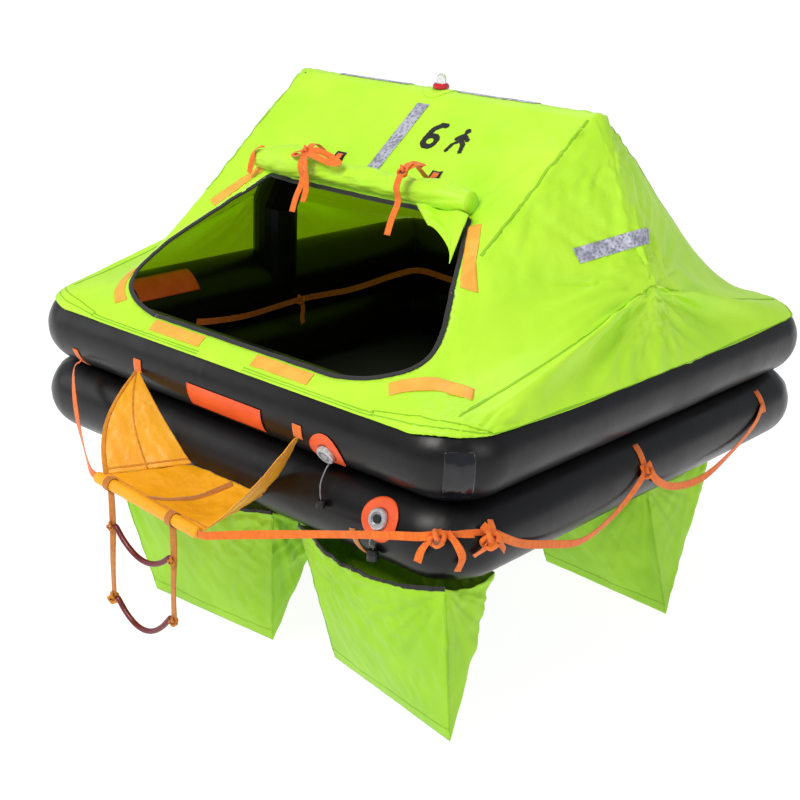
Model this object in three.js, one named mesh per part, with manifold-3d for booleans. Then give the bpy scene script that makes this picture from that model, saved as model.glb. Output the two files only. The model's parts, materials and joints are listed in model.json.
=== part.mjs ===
// Inflated liferaft for six people: two stacked buoyancy tubes, floor, inflated arch, sewn canopy with a
// rolled door, boarding step and ladder, grab lines, valves, gas cylinder and ballast pockets.
// Millimetres, +Z up. The origin is the middle of the floor's underside and the entrance faces -Y.
import * as THREE from "three";
import { mergeVertices } from "three/addons/utils/BufferGeometryUtils.js";
import Module from "manifold-3d";

const wasm = await Module();
wasm.setup();

// Thicknesses and clearances
const GAP = 0.3; // between pieces that touch
const CLOTH = 4; // coated fabric panels
const TAPE = 2; // patches, tapes and labels
const WEBBING = 3; // thickness of woven straps
const STRAP_WIDTH = 25;

// Floor and buoyancy tubes
const FLOOR_THICK = 4;
const TUBE_R = 125;
const TUBE_PITCH = 243; // less than two radii: the tubes press flat where they meet
const HALF_X = 865; // tube centreline, from the middle to the ends
const HALF_Y = 890; // tube centreline, from the middle to the entrance and the back
const CORNER_R = 80; // centreline radius at the corners
const TIGHT_R = 3; // inner corners are creased
const LOWER_Z = FLOOR_THICK + GAP + TUBE_R;
const UPPER_Z = LOWER_Z + TUBE_PITCH;

// Arch tube, in the plane across the middle of the raft
const ARCH_R = 85;
const LEG_X = 800;
const KNUCKLE_Z = 690;
const SHOULDER_X = 586;
const RIDGE_Z = 1118;

// Canopy
const SKIRT_ANGLE = 38.4; // seam on the upper tube, in degrees above its outer side
const CORNER_SKIRT_ANGLE = 43; // the seam runs a little higher round the corners
const HIP_SAG = 62; // how far the fabric hangs in between shoulder and corner
const END_SAG = 50; // the same on the end panels
const CANOPY_CURVE = 9; // fabric radius over a tube grows by this many degrees' facet

// Door, in the plane of the front slope: across, and up from where the fabric leaves the tube
const DOOR_SILL = 57;
const DOOR_TOP = 700;
const DOOR_WIDEST = 235; // height of the widest place
const DOOR_SIDES = { left: -625, right: 655 };
const DOOR_BOTTOM = { left: -380, right: 420 };
const DOOR_HEAD = { left: -385, right: 483 };
const BINDING_WIDTH = 8;
const ROLL_R = 48;
const ROLL_UP = 738;
const ROLL_FROM = -462;
const ROLL_TO = 482;
const ROLL_END_UP = 9; // its left end lies over a closing tape

// Boarding step and ladder
const BAR_R = 20;
const BAR_LEFT = [-263, -1255, 75];
const BAR_RIGHT = [213, -1255, 47];
const SEAT_LEFT = -101; // inner edge of the seat
const SEAT_RIGHT = 226;
const SEAT_Z = 105;
const APEX_LEFT = [-362, 347]; // where the side panels meet the upper tube: across, and height
const APEX_RIGHT = [370, 329];
const RUNG_R = 9;

// Valves: across, and degrees above the outer side of the tube
const VALVE_R = 31;
const VALVE_RING_R = 65;
const VALVE_HEIGHT = 16;
const POPPET_TRAVEL = 4;
const STEM_R = 6.5;
const RELIEF_X = 477;
const RELIEF_ANGLE = -32;
const INFLATION_X = 696;
const INFLATION_ANGLE = 22;

// Ballast pockets
const POCKET_DEPTH = 500;
const POCKET_HANG = 46; // sag of the open edge
const POCKET_OUT = 70; // outer corners, out from the tube's centreline

// Gas cylinder, slung under the floor behind the middle
const CYLINDER_R = 55;
const CYLINDER_LONG = 430;
const CYLINDER_Y = 640;

// Top light
const LIGHT_R = 28;
const LIGHT_BASE_TALL = 16;
const LENS_R = 17;
const LENS_TALL = 14; // below its dome
const LIGHT_PATCH_R = 61;
const PATCH_LIFT = 1.5; // clears the bend of the fabric over the arch

const SECTION_SIDES = 32;
const CORNER_STEPS = 4;
const ARCH_SIDES = 20;
const SKIRT_STEPS = 4;
const SLOPE_STEPS = 7;
const WRAP_STEPS = 5;

const COLOURS = {
  tube: 0x1b1a1e,
  floor: 0x26252a,
  canopy: 0xb9f030,
  pocket: 0x9ac800,
  orange: 0xf07a10,
  patch: 0xf9b445,
  label: 0xee5a24,
  step: 0xf7a800,
  web: 0xd98800,
  hose: 0x6e1220,
  steel: 0xc9c9c9,
  black: 0x151517,
  silver: 0xa9a9b8,
  red: 0xd0202a,
  clear: 0xe8ecea,
  cylinder: 0x7a8a3a,
  brass: 0xb8974a,
};

const vec = (x, y, z) => new THREE.Vector3(x, y, z);
const rad = THREE.MathUtils.degToRad;
const deg = THREE.MathUtils.radToDeg;
const X = vec(1, 0, 0);
const Y = vec(0, 1, 0);
const Z = vec(0, 0, 1);
const steps = (n) => Array.from({ length: n + 1 }, (_, i) => i / n);
const blend = THREE.MathUtils.lerp;

const raft = new THREE.Group();

function add(name, geometry, colour, roughness = 0.6, metalness = 0, parent = raft) {
  const material = new THREE.MeshStandardMaterial({ color: colour, roughness, metalness });
  const mesh = new THREE.Mesh(geometry, material);
  mesh.name = name;
  parent.add(mesh);
  return mesh;
}

// Positions only, with shared vertices merged and slivers without area left out.
function welded(geometry) {
  const loose = geometry.index ? geometry.toNonIndexed() : geometry;
  const bare = new THREE.BufferGeometry().setAttribute("position", loose.getAttribute("position").clone());
  const merged = mergeVertices(bare, 1e-3);
  const kept = [];
  for (let i = 0; i < merged.index.count; i += 3) {
    const [a, b, c] = [0, 1, 2].map((k) => merged.index.getX(i + k));
    if (a !== b && b !== c && c !== a) kept.push(a, b, c);
  }
  return merged.setIndex(kept);
}

function signedVolume(geometry) {
  const p = geometry.attributes.position;
  let six = 0;
  for (let i = 0; i < geometry.index.count; i += 3) {
    const [a, b, c] = [0, 1, 2].map((k) => vec().fromBufferAttribute(p, geometry.index.getX(i + k)));
    six += a.dot(b.cross(c));
  }
  return six / 6;
}

function flipped(geometry) {
  const order = Array.from(geometry.index.array);
  for (let i = 0; i < order.length; i += 3) [order[i + 1], order[i + 2]] = [order[i + 2], order[i + 1]];
  return geometry.setIndex(order);
}

// A welded geometry of triangles given as triples of points.
function surface(faces) {
  const flat = faces.flatMap((face) => face.flatMap((p) => [p.x, p.y, p.z]));
  const loose = new THREE.BufferGeometry();
  loose.setAttribute("position", new THREE.Float32BufferAttribute(flat, 3));
  return welded(loose);
}

function gridFaces(grid) {
  const faces = [];
  for (let i = 0; i + 1 < grid.length; i++)
    for (let j = 0; j + 1 < grid[i].length; j++) {
      const [a, b, c, d] = [grid[i][j], grid[i][j + 1], grid[i + 1][j + 1], grid[i + 1][j]];
      faces.push([a, b, c], [a, c, d]);
    }
  return faces;
}

// Gives an open surface its thickness, half on each side, or along one direction.
function thicken(open, thickness, along = null) {
  open.computeVertexNormals();
  const p = open.attributes.position;
  const n = open.attributes.normal;
  const index = open.index.array;
  const side = (i, sign) =>
    vec()
      .fromBufferAttribute(p, i)
      .addScaledVector(along ?? vec().fromBufferAttribute(n, i), (sign * thickness) / 2);
  const seen = new Set();
  for (let i = 0; i < index.length; i += 3)
    for (let k = 0; k < 3; k++) seen.add(index[i + k] + "," + index[i + ((k + 1) % 3)]);
  const faces = [];
  for (let i = 0; i < index.length; i += 3) {
    const [a, b, c] = [index[i], index[i + 1], index[i + 2]];
    faces.push([side(a, 1), side(b, 1), side(c, 1)], [side(a, -1), side(c, -1), side(b, -1)]);
    for (const [from, to] of [[a, b], [b, c], [c, a]])
      if (!seen.has(to + "," + from)) {
        faces.push([side(to, 1), side(from, 1), side(from, -1)]);
        faces.push([side(to, 1), side(from, -1), side(to, -1)]);
      }
  }
  return outward(surface(faces));
}

function outward(geometry) {
  return signedVolume(geometry) < 0 ? flipped(geometry) : geometry;
}

// Skin through closed rings of points. A loop joins the last ring to the first; otherwise flat ends close it.
function loft(rings, loop = false) {
  const closed = rings.map((ring) => [...ring, ring[0]]);
  if (loop) closed.push(closed[0]);
  const faces = gridFaces(closed);
  if (!loop)
    for (const [ring, turn] of [
      [rings[0], false],
      [rings.at(-1), true],
    ]) {
      const middle = ring.reduce((sum, p) => sum.clone().add(p), vec()).divideScalar(ring.length);
      ring.forEach((p, i) => {
        const q = ring[(i + 1) % ring.length];
        faces.push(turn ? [middle, p, q] : [middle, q, p]);
      });
    }
  return outward(surface(faces));
}

function toSolid(geometry) {
  const g = welded(geometry);
  const vertProperties = g.attributes.position.array;
  const triVerts = new Uint32Array(g.index.array);
  return new wasm.Manifold(new wasm.Mesh({ numProp: 3, vertProperties, triVerts }));
}

function toGeometry(solid) {
  const mesh = solid.getMesh();
  return new THREE.BufferGeometry()
    .setAttribute("position", new THREE.BufferAttribute(mesh.vertProperties, 3))
    .setIndex(new THREE.BufferAttribute(mesh.triVerts, 1));
}

const cut = (from, ...tools) => toGeometry(tools.reduce((s, t) => s.subtract(toSolid(t)), toSolid(from)));
const join = (first, ...rest) => toGeometry(rest.reduce((s, t) => s.add(toSolid(t)), toSolid(first)));

function placed(geometry, frame) {
  return geometry.applyMatrix4(frame);
}

// Frame whose Z axis is the one given, with its X axis near ACROSS.
function frameAt(origin, across, out) {
  const z = out.clone().normalize();
  const y = z.clone().cross(across).normalize();
  const x = y.clone().cross(z);
  return new THREE.Matrix4().makeBasis(x, y, z).setPosition(origin);
}

function box(dx, dy, dz, x, y, z) {
  return new THREE.BoxGeometry(dx, dy, dz).translate(x, y, z);
}

// A lathe turned about Z: pairs of radius and height, closed on the axis or on itself.
function turned(profile, sides = 24) {
  const points = profile.map(([r, z]) => new THREE.Vector2(r, z));
  const lathe = new THREE.LatheGeometry(points, sides).rotateX(Math.PI / 2);
  return outward(welded(lathe));
}

const curveThrough = (points) =>
  new THREE.CatmullRomCurve3(points.map((p) => vec(...p)), false, "centripetal");

// A cord through points, wider than thick where the two differ.
function cordThrough(points, width, thick, sides = 8, stepLong = 2.5) {
  const curve = curveThrough(points);
  const section = new THREE.Shape();
  for (let i = 0; i < sides; i++) {
    const angle = ((i + 0.5) * 2 * Math.PI) / sides;
    section[i ? "lineTo" : "moveTo"]((width / 2) * Math.cos(angle), (thick / 2) * Math.sin(angle));
  }
  const count = Math.min(80, Math.ceil(curve.getLength() / (stepLong * Math.max(width, thick))));
  const options = { steps: Math.max(count, 2), extrudePath: curve, bevelEnabled: false };
  return outward(welded(new THREE.ExtrudeGeometry(section, options)));
}

// Plan of the tubes
const CORNER_SIGNS = [[1, 1], [-1, 1], [-1, -1], [1, -1]];
const FRONT_RIGHT = 3;

// The point OFFSET out from the tubes' centreline, DEGREES round one corner of the raft.
function planPoint(offset, corner, degrees) {
  const radius = Math.max(CORNER_R + offset, TIGHT_R);
  const [sx, sy] = CORNER_SIGNS[corner];
  const angle = rad(90 * corner + degrees);
  const x = sx * (HALF_X + offset - radius) + radius * Math.cos(angle);
  const y = sy * (HALF_Y + offset - radius) + radius * Math.sin(angle);
  return [x, y];
}

function tubePoint(centreZ, radius, degreesUp, corner, degrees) {
  const [x, y] = planPoint(radius * Math.cos(rad(degreesUp)), corner, degrees);
  return vec(x, y, centreZ + radius * Math.sin(rad(degreesUp)));
}

// A buoyancy tube, round but for the flat where it presses on the other tube.
function buoyancyTube(centreZ, flatSide) {
  const reach = deg(Math.asin(Math.min(0.995, (TUBE_PITCH - GAP) / 2 / TUBE_R)));
  const angles = steps(SECTION_SIDES).map((t) => flatSide * blend(-180 - reach, reach, t));
  const stations = CORNER_SIGNS.flatMap((_, corner) => steps(CORNER_STEPS).map((t) => [corner, 90 * t]));
  const rings = stations.map(([corner, degrees]) =>
    angles.map((up) => tubePoint(centreZ, TUBE_R, up, corner, degrees)),
  );
  return loft(rings, true);
}

function roundedPlan(halfX, halfY, radius) {
  const shape = new THREE.Shape();
  CORNER_SIGNS.forEach(([sx, sy], corner) => {
    const start = rad(90 * corner);
    shape.absarc(sx * (halfX - radius), sy * (halfY - radius), radius, start, start + Math.PI / 2);
  });
  return shape;
}

function floorSheet() {
  const plan = roundedPlan(HALF_X, HALF_Y, CORNER_R);
  const options = { depth: FLOOR_THICK, bevelEnabled: false, curveSegments: CORNER_STEPS };
  return new THREE.ExtrudeGeometry(plan, options);
}

add("floor", floorSheet(), COLOURS.floor, 0.7);
const lowerTube = add("lower_tube", buoyancyTube(LOWER_Z, 1), COLOURS.tube, 0.45);
const upperTube = add("upper_tube", buoyancyTube(UPPER_Z, -1), COLOURS.tube, 0.45);

// Arch tube: stations at its feet, knuckles and shoulders
const LEG_FOOT = UPPER_Z + 8;
const archPath = [
  [-LEG_X, LEG_FOOT], [-LEG_X, KNUCKLE_Z], [-SHOULDER_X, RIDGE_Z],
  [SHOULDER_X, RIDGE_Z], [LEG_X, KNUCKLE_Z], [LEG_X, LEG_FOOT],
].map(([x, z]) => vec(x, 0, z));
const legAlong = (i) => archPath[i + 1].clone().sub(archPath[i]).normalize();
const legNormal = (i) => legAlong(i).applyAxisAngle(Y, -Math.PI / 2);

// Centre, outward direction and mitre stretch of the arch at a vertex, or part way along a leg.
function archStation(i, fraction = 0) {
  const centre = fraction ? archPath[i].clone().lerp(archPath[i + 1], fraction) : archPath[i].clone();
  if (fraction || i === 0) return { centre, out: legNormal(i), stretch: 1 };
  if (i === archPath.length - 1) return { centre, out: legNormal(i - 1), stretch: 1 };
  const out = legNormal(i - 1).add(legNormal(i)).normalize();
  return { centre, out, stretch: 1 / out.dot(legNormal(i)) };
}

function archPoint({ centre, out, stretch }, radius, degrees) {
  return centre
    .clone()
    .addScaledVector(out, radius * stretch * Math.cos(rad(degrees)))
    .addScaledVector(Y, -radius * Math.sin(rad(degrees)));
}

function archTube() {
  const around = Array.from({ length: ARCH_SIDES }, (_, i) => (360 * i) / ARCH_SIDES);
  const rings = archPath.map((_, i) => around.map((a) => archPoint(archStation(i), ARCH_R, a)));
  const clear = TUBE_R + GAP;
  const tubes = [-1, 1].map((side) => {
    const round = new THREE.CylinderGeometry(clear, clear, 4 * ARCH_R, 2 * SECTION_SIDES);
    return round.translate(side * HALF_X, 0, UPPER_Z);
  });
  return cut(loft(rings), ...tubes);
}

add("arch_tube", archTube(), COLOURS.tube, 0.45);

// Canopy: one quarter is worked out, the other three are its mirror images
const FABRIC_OVER = (GAP + CLOTH / 2 + TUBE_R) / Math.cos(rad(CANOPY_CURVE / 2)) - TUBE_R;
const TUBE_FABRIC_R = TUBE_R + FABRIC_OVER;
const ARCH_FABRIC_R = ARCH_R + FABRIC_OVER;
const HIP_LIFT = 4; // stands a little proud where it bends towards the corners
const CORNER_LIFT = 5;
const CORNER_START = HALF_X - CORNER_R;
const END_START = HALF_Y - CORNER_R;

// Tangent from a point to a circle: degrees from the direction UP towards the direction OUT.
function tangentDegrees(centre, radius, point, up, out, turn) {
  const d = point.clone().sub(centre);
  const [a, b] = [d.dot(up), d.dot(out)];
  return deg(Math.atan2(b, a) + turn * Math.acos(radius / Math.hypot(a, b)));
}

// A place on the rim in the front right quarter: on the front side, round the corner or on the end side.
const onFront = (x, lift = 0) => ({
  lift,
  seam: SKIRT_ANGLE,
  out: Y.clone().negate(),
  at: (offset) => [x, -HALF_Y - offset],
});
const onCorner = (degrees) => ({
  lift: CORNER_LIFT,
  seam: CORNER_SKIRT_ANGLE,
  out: X.clone().applyAxisAngle(Z, rad(270 + degrees)),
  at: (offset) => planPoint(offset, FRONT_RIGHT, degrees),
});
const onEnd = (y) => ({
  lift: 0,
  seam: SKIRT_ANGLE,
  out: X.clone(),
  at: (offset) => [HALF_X + offset, y],
});

function rimPoint(place, degreesUp) {
  const radius = TUBE_FABRIC_R + place.lift;
  const [x, y] = place.at(radius * Math.cos(rad(degreesUp)));
  return vec(x, y, UPPER_Z + radius * Math.sin(rad(degreesUp)));
}

// Fabric from the seam up over the tube, then in a shallow curve to its top point.
function fabricColumn(place, pull, topOf) {
  const centre = vec(...place.at(0), UPPER_Z);
  const leave = (target) =>
    Math.max(place.seam, 90 - tangentDegrees(centre, TUBE_FABRIC_R, target, Z, place.out, 1));
  let top = topOf(centre);
  const taut = rimPoint(place, leave(top));
  top = topOf(taut);
  const control = taut.clone().add(top).multiplyScalar(0.5).add(pull);
  const lift = leave(control);
  top = topOf(control);
  const foot = rimPoint(place, lift);
  const skirt = steps(SKIRT_STEPS).slice(0, -1).map((t) => rimPoint(place, blend(place.seam, lift, t)));
  const slope = new THREE.QuadraticBezierCurve3(foot, control, top).getPoints(SLOPE_STEPS);
  return [...skirt, ...slope];
}

const wrapDegrees = (station, target) =>
  tangentDegrees(station.centre, ARCH_FABRIC_R, target, station.out, Y.clone().negate(), -1);

// Front half of the canopy's right side: where each column starts and meets the arch, and how much it sags.
const SHOULDER = 3;
const KNUCKLE = 4;
const fan = (t) => archStation(SHOULDER, t);
const alongHip = (t) => blend(SHOULDER_X, CORNER_START, t);
const ridgeMiddle = { centre: vec(0, 0, RIDGE_Z), out: Z.clone(), stretch: 1 };
const frontColumns = [
  { place: onFront(0), station: ridgeMiddle, sag: 0 },
  { place: onFront(SHOULDER_X), station: fan(0), sag: 0 },
  { place: onFront(alongHip(0.2), HIP_LIFT), station: fan(0.12), sag: 0.1 },
  { place: onFront(alongHip(0.45), HIP_LIFT), station: fan(0.26), sag: 0.45 },
  { place: onFront(alongHip(0.75), HIP_LIFT), station: fan(0.44), sag: 0.88 },
  { place: onFront(alongHip(1), CORNER_LIFT), station: fan(0.64), sag: 1 },
  { place: onCorner(22.5), station: fan(0.83), sag: 0.75 },
  { place: onCorner(45), station: archStation(KNUCKLE), sag: 0.3 },
];
const endPlaces = [
  { place: onCorner(45), sag: 0 },
  { place: onCorner(67.5), sag: 0.1 },
  { place: onCorner(90), sag: 0.4 },
  { place: onEnd(-0.62 * END_START), sag: 0.9 },
  { place: onEnd(-0.31 * END_START), sag: 0.5 },
  { place: onEnd(0), sag: 0.1 },
];

function canopyQuarter() {
  const ridgeSlope = vec(0, RIDGE_Z - UPPER_Z, -HALF_Y).normalize();
  const fronts = [];
  const wraps = [];
  for (const { place, station, sag } of frontColumns) {
    const radius = ARCH_FABRIC_R + (place.lift === CORNER_LIFT ? CORNER_LIFT : 0);
    let angle = 0;
    const topOf = (target) => {
      angle = wrapDegrees(station, target);
      return archPoint(station, radius, angle);
    };
    const pull = ridgeSlope.clone().multiplyScalar(2 * HIP_SAG * sag);
    fronts.push(fabricColumn(place, pull, topOf));
    wraps.push(steps(WRAP_STEPS).map((t) => archPoint(station, radius, angle * (1 - t))));
  }
  const ends = endPlaces.map(({ place, sag }, j) => {
    const pull = X.clone().multiplyScalar(-2 * END_SAG * sag);
    return j ? fabricColumn(place, pull, () => wraps.at(-1)[j].clone()) : fronts.at(-1);
  });
  return [...gridFaces(fronts), ...gridFaces(wraps), ...gridFaces(ends)];
}

function mirrored(faces, sx, sy) {
  const map = (p) => vec(p.x * sx, p.y * sy, p.z);
  return faces.map(([a, b, c]) => (sx * sy > 0 ? [a, b, c] : [a, c, b]).map(map));
}

const quarter = canopyQuarter();
const canopyFaces = CORNER_SIGNS.flatMap(([sx, sy]) => mirrored(quarter, sx, sy));
const canopyShell = thicken(surface(canopyFaces), CLOTH);

// Door plane: X across, Y up the slope, Z out of it
const slopeRun = Math.hypot(HALF_Y, RIDGE_Z - UPPER_Z);
const slopeTilt = deg(Math.atan2(RIDGE_Z - UPPER_Z, HALF_Y) - Math.asin((TUBE_R - ARCH_R) / slopeRun));
const slopeUp = vec(0, Math.cos(rad(slopeTilt)), Math.sin(rad(slopeTilt)));
const slopeOut = X.clone().cross(slopeUp);
const slopeFoot = vec(0, -HALF_Y, UPPER_Z).addScaledVector(slopeOut, TUBE_FABRIC_R);
const slopeFrame = new THREE.Matrix4().makeBasis(X, slopeUp, slopeOut).setPosition(slopeFoot);
const SLOPE_TOP = CLOTH / 2 + GAP;

function doorOutline(grow = 0) {
  const shape = new THREE.Shape();
  const [bottom, top] = [DOOR_SILL - grow, DOOR_TOP + grow];
  const spread = ({ left, right }) => [left - grow, right + grow];
  const [left, right] = spread(DOOR_SIDES);
  const [lowLeft, lowRight] = spread(DOOR_BOTTOM);
  const [highLeft, highRight] = spread(DOOR_HEAD);
  const bendDown = bottom + 33;
  const bendUp = blend(DOOR_WIDEST, top, 0.32);
  shape.moveTo(lowLeft, bottom);
  shape.lineTo(lowRight, bottom);
  shape.quadraticCurveTo(right, bendDown, right, DOOR_WIDEST);
  shape.quadraticCurveTo(right - 15, bendUp, highRight, top);
  shape.lineTo(highLeft, top);
  shape.quadraticCurveTo(left + 50, bendUp, left, DOOR_WIDEST);
  shape.quadraticCurveTo(left, bendDown, lowLeft, bottom);
  return shape;
}

function doorPrism(shape, depth, z) {
  const options = { depth, bevelEnabled: false, curveSegments: 5 };
  return placed(new THREE.ExtrudeGeometry(shape, options).translate(0, 0, z), slopeFrame);
}

const doorCutter = doorPrism(doorOutline(), 160, -80);

const canopy = add("canopy", cut(canopyShell, doorCutter), COLOURS.canopy, 0.5);

// Lays a grid of points, given in a frame's X and Y, on a mesh that lies behind it.
function drape(meshes, frame, grid, thickness = TAPE, lift = GAP) {
  const out = vec().setFromMatrixColumn(frame, 2);
  const bothSides = new THREE.MeshBasicMaterial({ side: THREE.DoubleSide });
  const targets = meshes.map((mesh) => new THREE.Mesh(mesh.geometry, bothSides));
  const caster = new THREE.Raycaster();
  const laid = grid.map((row) =>
    row.map(([x, y]) => {
      const start = vec(x, y, 400).applyMatrix4(frame);
      caster.set(start, out.clone().negate());
      const [hit] = caster.intersectObjects(targets);
      return (hit ? hit.point : vec(x, y, 0).applyMatrix4(frame)).addScaledVector(out, lift + thickness / 2);
    }),
  );
  return thicken(surface(gridFaces(laid)), thickness, out);
}

const rectangle = (w, h, nx, ny) =>
  steps(ny).map((v) => steps(nx).map((u) => [(u - 0.5) * w, (v - 0.5) * h]));
const rings = (radii, around = 24) =>
  radii.map((r) =>
    steps(around).map((t) => [r * Math.cos(2 * Math.PI * t), r * Math.sin(2 * Math.PI * t)]),
  );

function onSlope(x, up, turn = 0) {
  const across = vec(Math.cos(rad(turn)), 0, 0).addScaledVector(slopeUp, Math.sin(rad(turn)));
  return frameAt(vec(x, up, 0).applyMatrix4(slopeFrame), across, slopeOut);
}

// Door edge, closing tapes and rolled door
function doorBinding() {
  const shape = doorOutline(BINDING_WIDTH);
  shape.holes.push(doorOutline(GAP));
  return doorPrism(shape, TAPE, SLOPE_TOP);
}

add("door_binding", doorBinding(), COLOURS.black, 0.7);

const CLOSING_TAPE = [240, 42];
const CREASE_LIFT = 5; // clears the crease between slope and hip
const CORNER_TAPE_LIFT = 3.4; // clears the bends round the door's corners
const closingTapes = [
  ["door_tape_bottom_left", -238, 21, 0, GAP],
  ["door_tape_bottom_right", 240, 21, 0, GAP],
  ["door_tape_left", -482, 642, 67, GAP],
  ["door_tape_right", 576, 578, 118, CREASE_LIFT],
];
for (const [name, x, up, turn, lift] of closingTapes) {
  const strip = rectangle(...CLOSING_TAPE, 12, 4);
  add(name, drape([canopy], onSlope(x, up, turn), strip, TAPE, lift), COLOURS.patch);
}

// Two more bend round the lower corners of the door: outer edge, then inner edge
const cornerTapes = {
  door_tape_corner_left: [
    [[-580, 50], [-630, 92], [-664, 143], [-672, 190]],
    [[-545, 78], [-590, 110], [-620, 150], [-638, 214]],
  ],
  door_tape_corner_right: [
    [[640, 56], [682, 94], [748, 140], [841, 158]],
    [[612, 92], [655, 134], [722, 184], [809, 203]],
  ],
};
for (const [name, edges] of Object.entries(cornerTapes)) {
  const curves = edges.map((edge) => new THREE.SplineCurve(edge.map(([x, y]) => new THREE.Vector2(x, y))));
  const [outer, inner] = curves.map((curve) => curve.getPoints(9));
  const rows = steps(2).map((t) => outer.map((p, i) => p.clone().lerp(inner[i], t).toArray()));
  add(name, drape([canopy], slopeFrame, rows, TAPE, CORNER_TAPE_LIFT), COLOURS.patch);
}

// The door rolled up over the top edge, with its loose corner hanging at the right
function doorRoll() {
  const fullness = [0.6, 1, 1.2, 0.95, 0.8, 0.85, 0.8, 0.9, 1, 0.7];
  const around = steps(10).slice(1);
  const rolled = fullness.map((full, i) => {
    const x = blend(ROLL_FROM, ROLL_TO, i / (fullness.length - 1));
    const r = ROLL_R * full;
    const under = SLOPE_TOP + r * Math.sin(rad(72)) + (i ? 0 : ROLL_END_UP);
    return around.map((t) => {
      const angle = 2 * Math.PI * t;
      return vec(x, ROLL_UP + r * Math.cos(angle), under + r * Math.sin(angle));
    });
  });
  return placed(loft(rolled), slopeFrame);
}

add("door_roll", doorRoll(), COLOURS.canopy, 0.5);

const TIE_UP = 822;
const TIE_PATCH = [42, 66];
const ties = [
  ["left", -164],
  ["right", 255],
];
for (const [side, x] of ties) {
  const patch = drape([canopy], onSlope(x, TIE_UP), rectangle(...TIE_PATCH, 2, 2));
  add("tie_patch_" + side, patch, COLOURS.black, 0.7);
}

// A tie: a band round the roll from its patch, with its tail hanging in front
function doorTie(x) {
  const outer = SLOPE_TOP + TAPE + GAP + 2 * ROLL_R * 1.2 + GAP;
  const near = SLOPE_TOP + TAPE + GAP + 0.3;
  const route = [
    [x, TIE_UP - 20, near], [x, ROLL_UP + 66, near + 12], [x, ROLL_UP + 44, outer - 10],
    [x, ROLL_UP, outer + WEBBING], [x, ROLL_UP - 52, outer - 16], [x, ROLL_UP - 74, outer - 60],
    [x, ROLL_UP - 130, outer - 86], [x, ROLL_UP - 170, outer - 110],
  ];
  return placed(cordThrough(route, STRAP_WIDTH, WEBBING, 8, 1), slopeFrame);
}

for (const [side, x] of ties) add("door_tie_" + side, doorTie(x), COLOURS.orange, 0.8);

// Reflective tapes
const TAPE_WIDE = 50;
const TAPE_LONG = 320;
const ridgeFrame = (x, y) => frameAt(vec(x, y, RIDGE_Z + ARCH_R), X, Z);
const addSilver = (name, frame, across, along, lift) => {
  const strip = rectangle(TAPE_LONG, TAPE_WIDE, along, across);
  add(name, drape([canopy], frame, strip, TAPE, lift), COLOURS.silver, 0.3, 0.5);
};
addSilver("slope_tape", onSlope(0, 962, 90), 1, 4, GAP);
addSilver("ridge_tape_left", ridgeFrame(-302, 14), 6, 2, 0.8);
addSilver("ridge_tape_right", ridgeFrame(238, 14), 6, 2, 0.8);

// The end tapes go down the sloping faces of the arch, beside the middle
function endTape(side) {
  const out = legNormal(SHOULDER);
  const centre = archStation(SHOULDER, 0.72).centre.addScaledVector(out, ARCH_R).addScaledVector(Y, -70);
  centre.x *= side;
  out.x *= side;
  addSilver("end_tape_" + (side > 0 ? "right" : "left"), frameAt(centre, Y, out), 2, 16, 1.6);
}
endTape(1);
endTape(-1);

// Top light on its round patch
const patchRadii = steps(4).map((t) => Math.max(0.01, t * LIGHT_PATCH_R));
const lightPatch = drape([canopy], ridgeFrame(0, 0), rings(patchRadii, 20), TAPE, PATCH_LIFT);
add("light_patch", lightPatch, COLOURS.canopy);
const light = new THREE.Group();
light.position.set(0, 0, RIDGE_Z + ARCH_FABRIC_R + CLOTH / 2 + PATCH_LIFT + TAPE + GAP);
raft.add(light);
const lightBase = [
  [0, 0], [LIGHT_R, 0], [LIGHT_R, 9], [LIGHT_R - 6, LIGHT_BASE_TALL], [0, LIGHT_BASE_TALL],
];
add("light_base", turned(lightBase), COLOURS.red, 0.4, 0, light);
const lensDome = steps(6).map((t) => {
  const angle = (t * Math.PI) / 2;
  return [LENS_R * Math.cos(angle), LENS_TALL + LENS_R * Math.sin(angle)];
});
lensDome[lensDome.length - 1][0] = 0;
const lens = turned([[0, 0], [LENS_R, 0], ...lensDome], 16).translate(0, 0, LIGHT_BASE_TALL + GAP);
add("light_lens", lens, COLOURS.clear, 0.1, 0, light);

// Label on the upper tube
const tubeFrame = (x, centreZ, degreesUp) => {
  const out = vec(0, -Math.cos(rad(degreesUp)), Math.sin(rad(degreesUp)));
  return frameAt(vec(x, -HALF_Y, centreZ).addScaledVector(out, TUBE_R), X, out);
};
const LABEL_LIFT = 1.3; // clears the facets of the tube below
add(
  "boarding_label",
  drape([upperTube], tubeFrame(49, UPPER_Z, -20), rectangle(335, 82, 2, 10), TAPE, LABEL_LIFT),
  COLOURS.label,
);

// Valves: a round label, a body with a blind bore, and a spring-loaded poppet in the bore
const BORE_FLOOR = 2;
const STEM_BOTTOM = BORE_FLOOR + POPPET_TRAVEL + 1;
const HEAD_R = 13;
const HEAD_THICK = 3;
const RECESS_R = 20;
const RECESS_FLOOR = 8;
const HEAD_BOTTOM = RECESS_FLOOR + POPPET_TRAVEL + 0.5;

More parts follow.
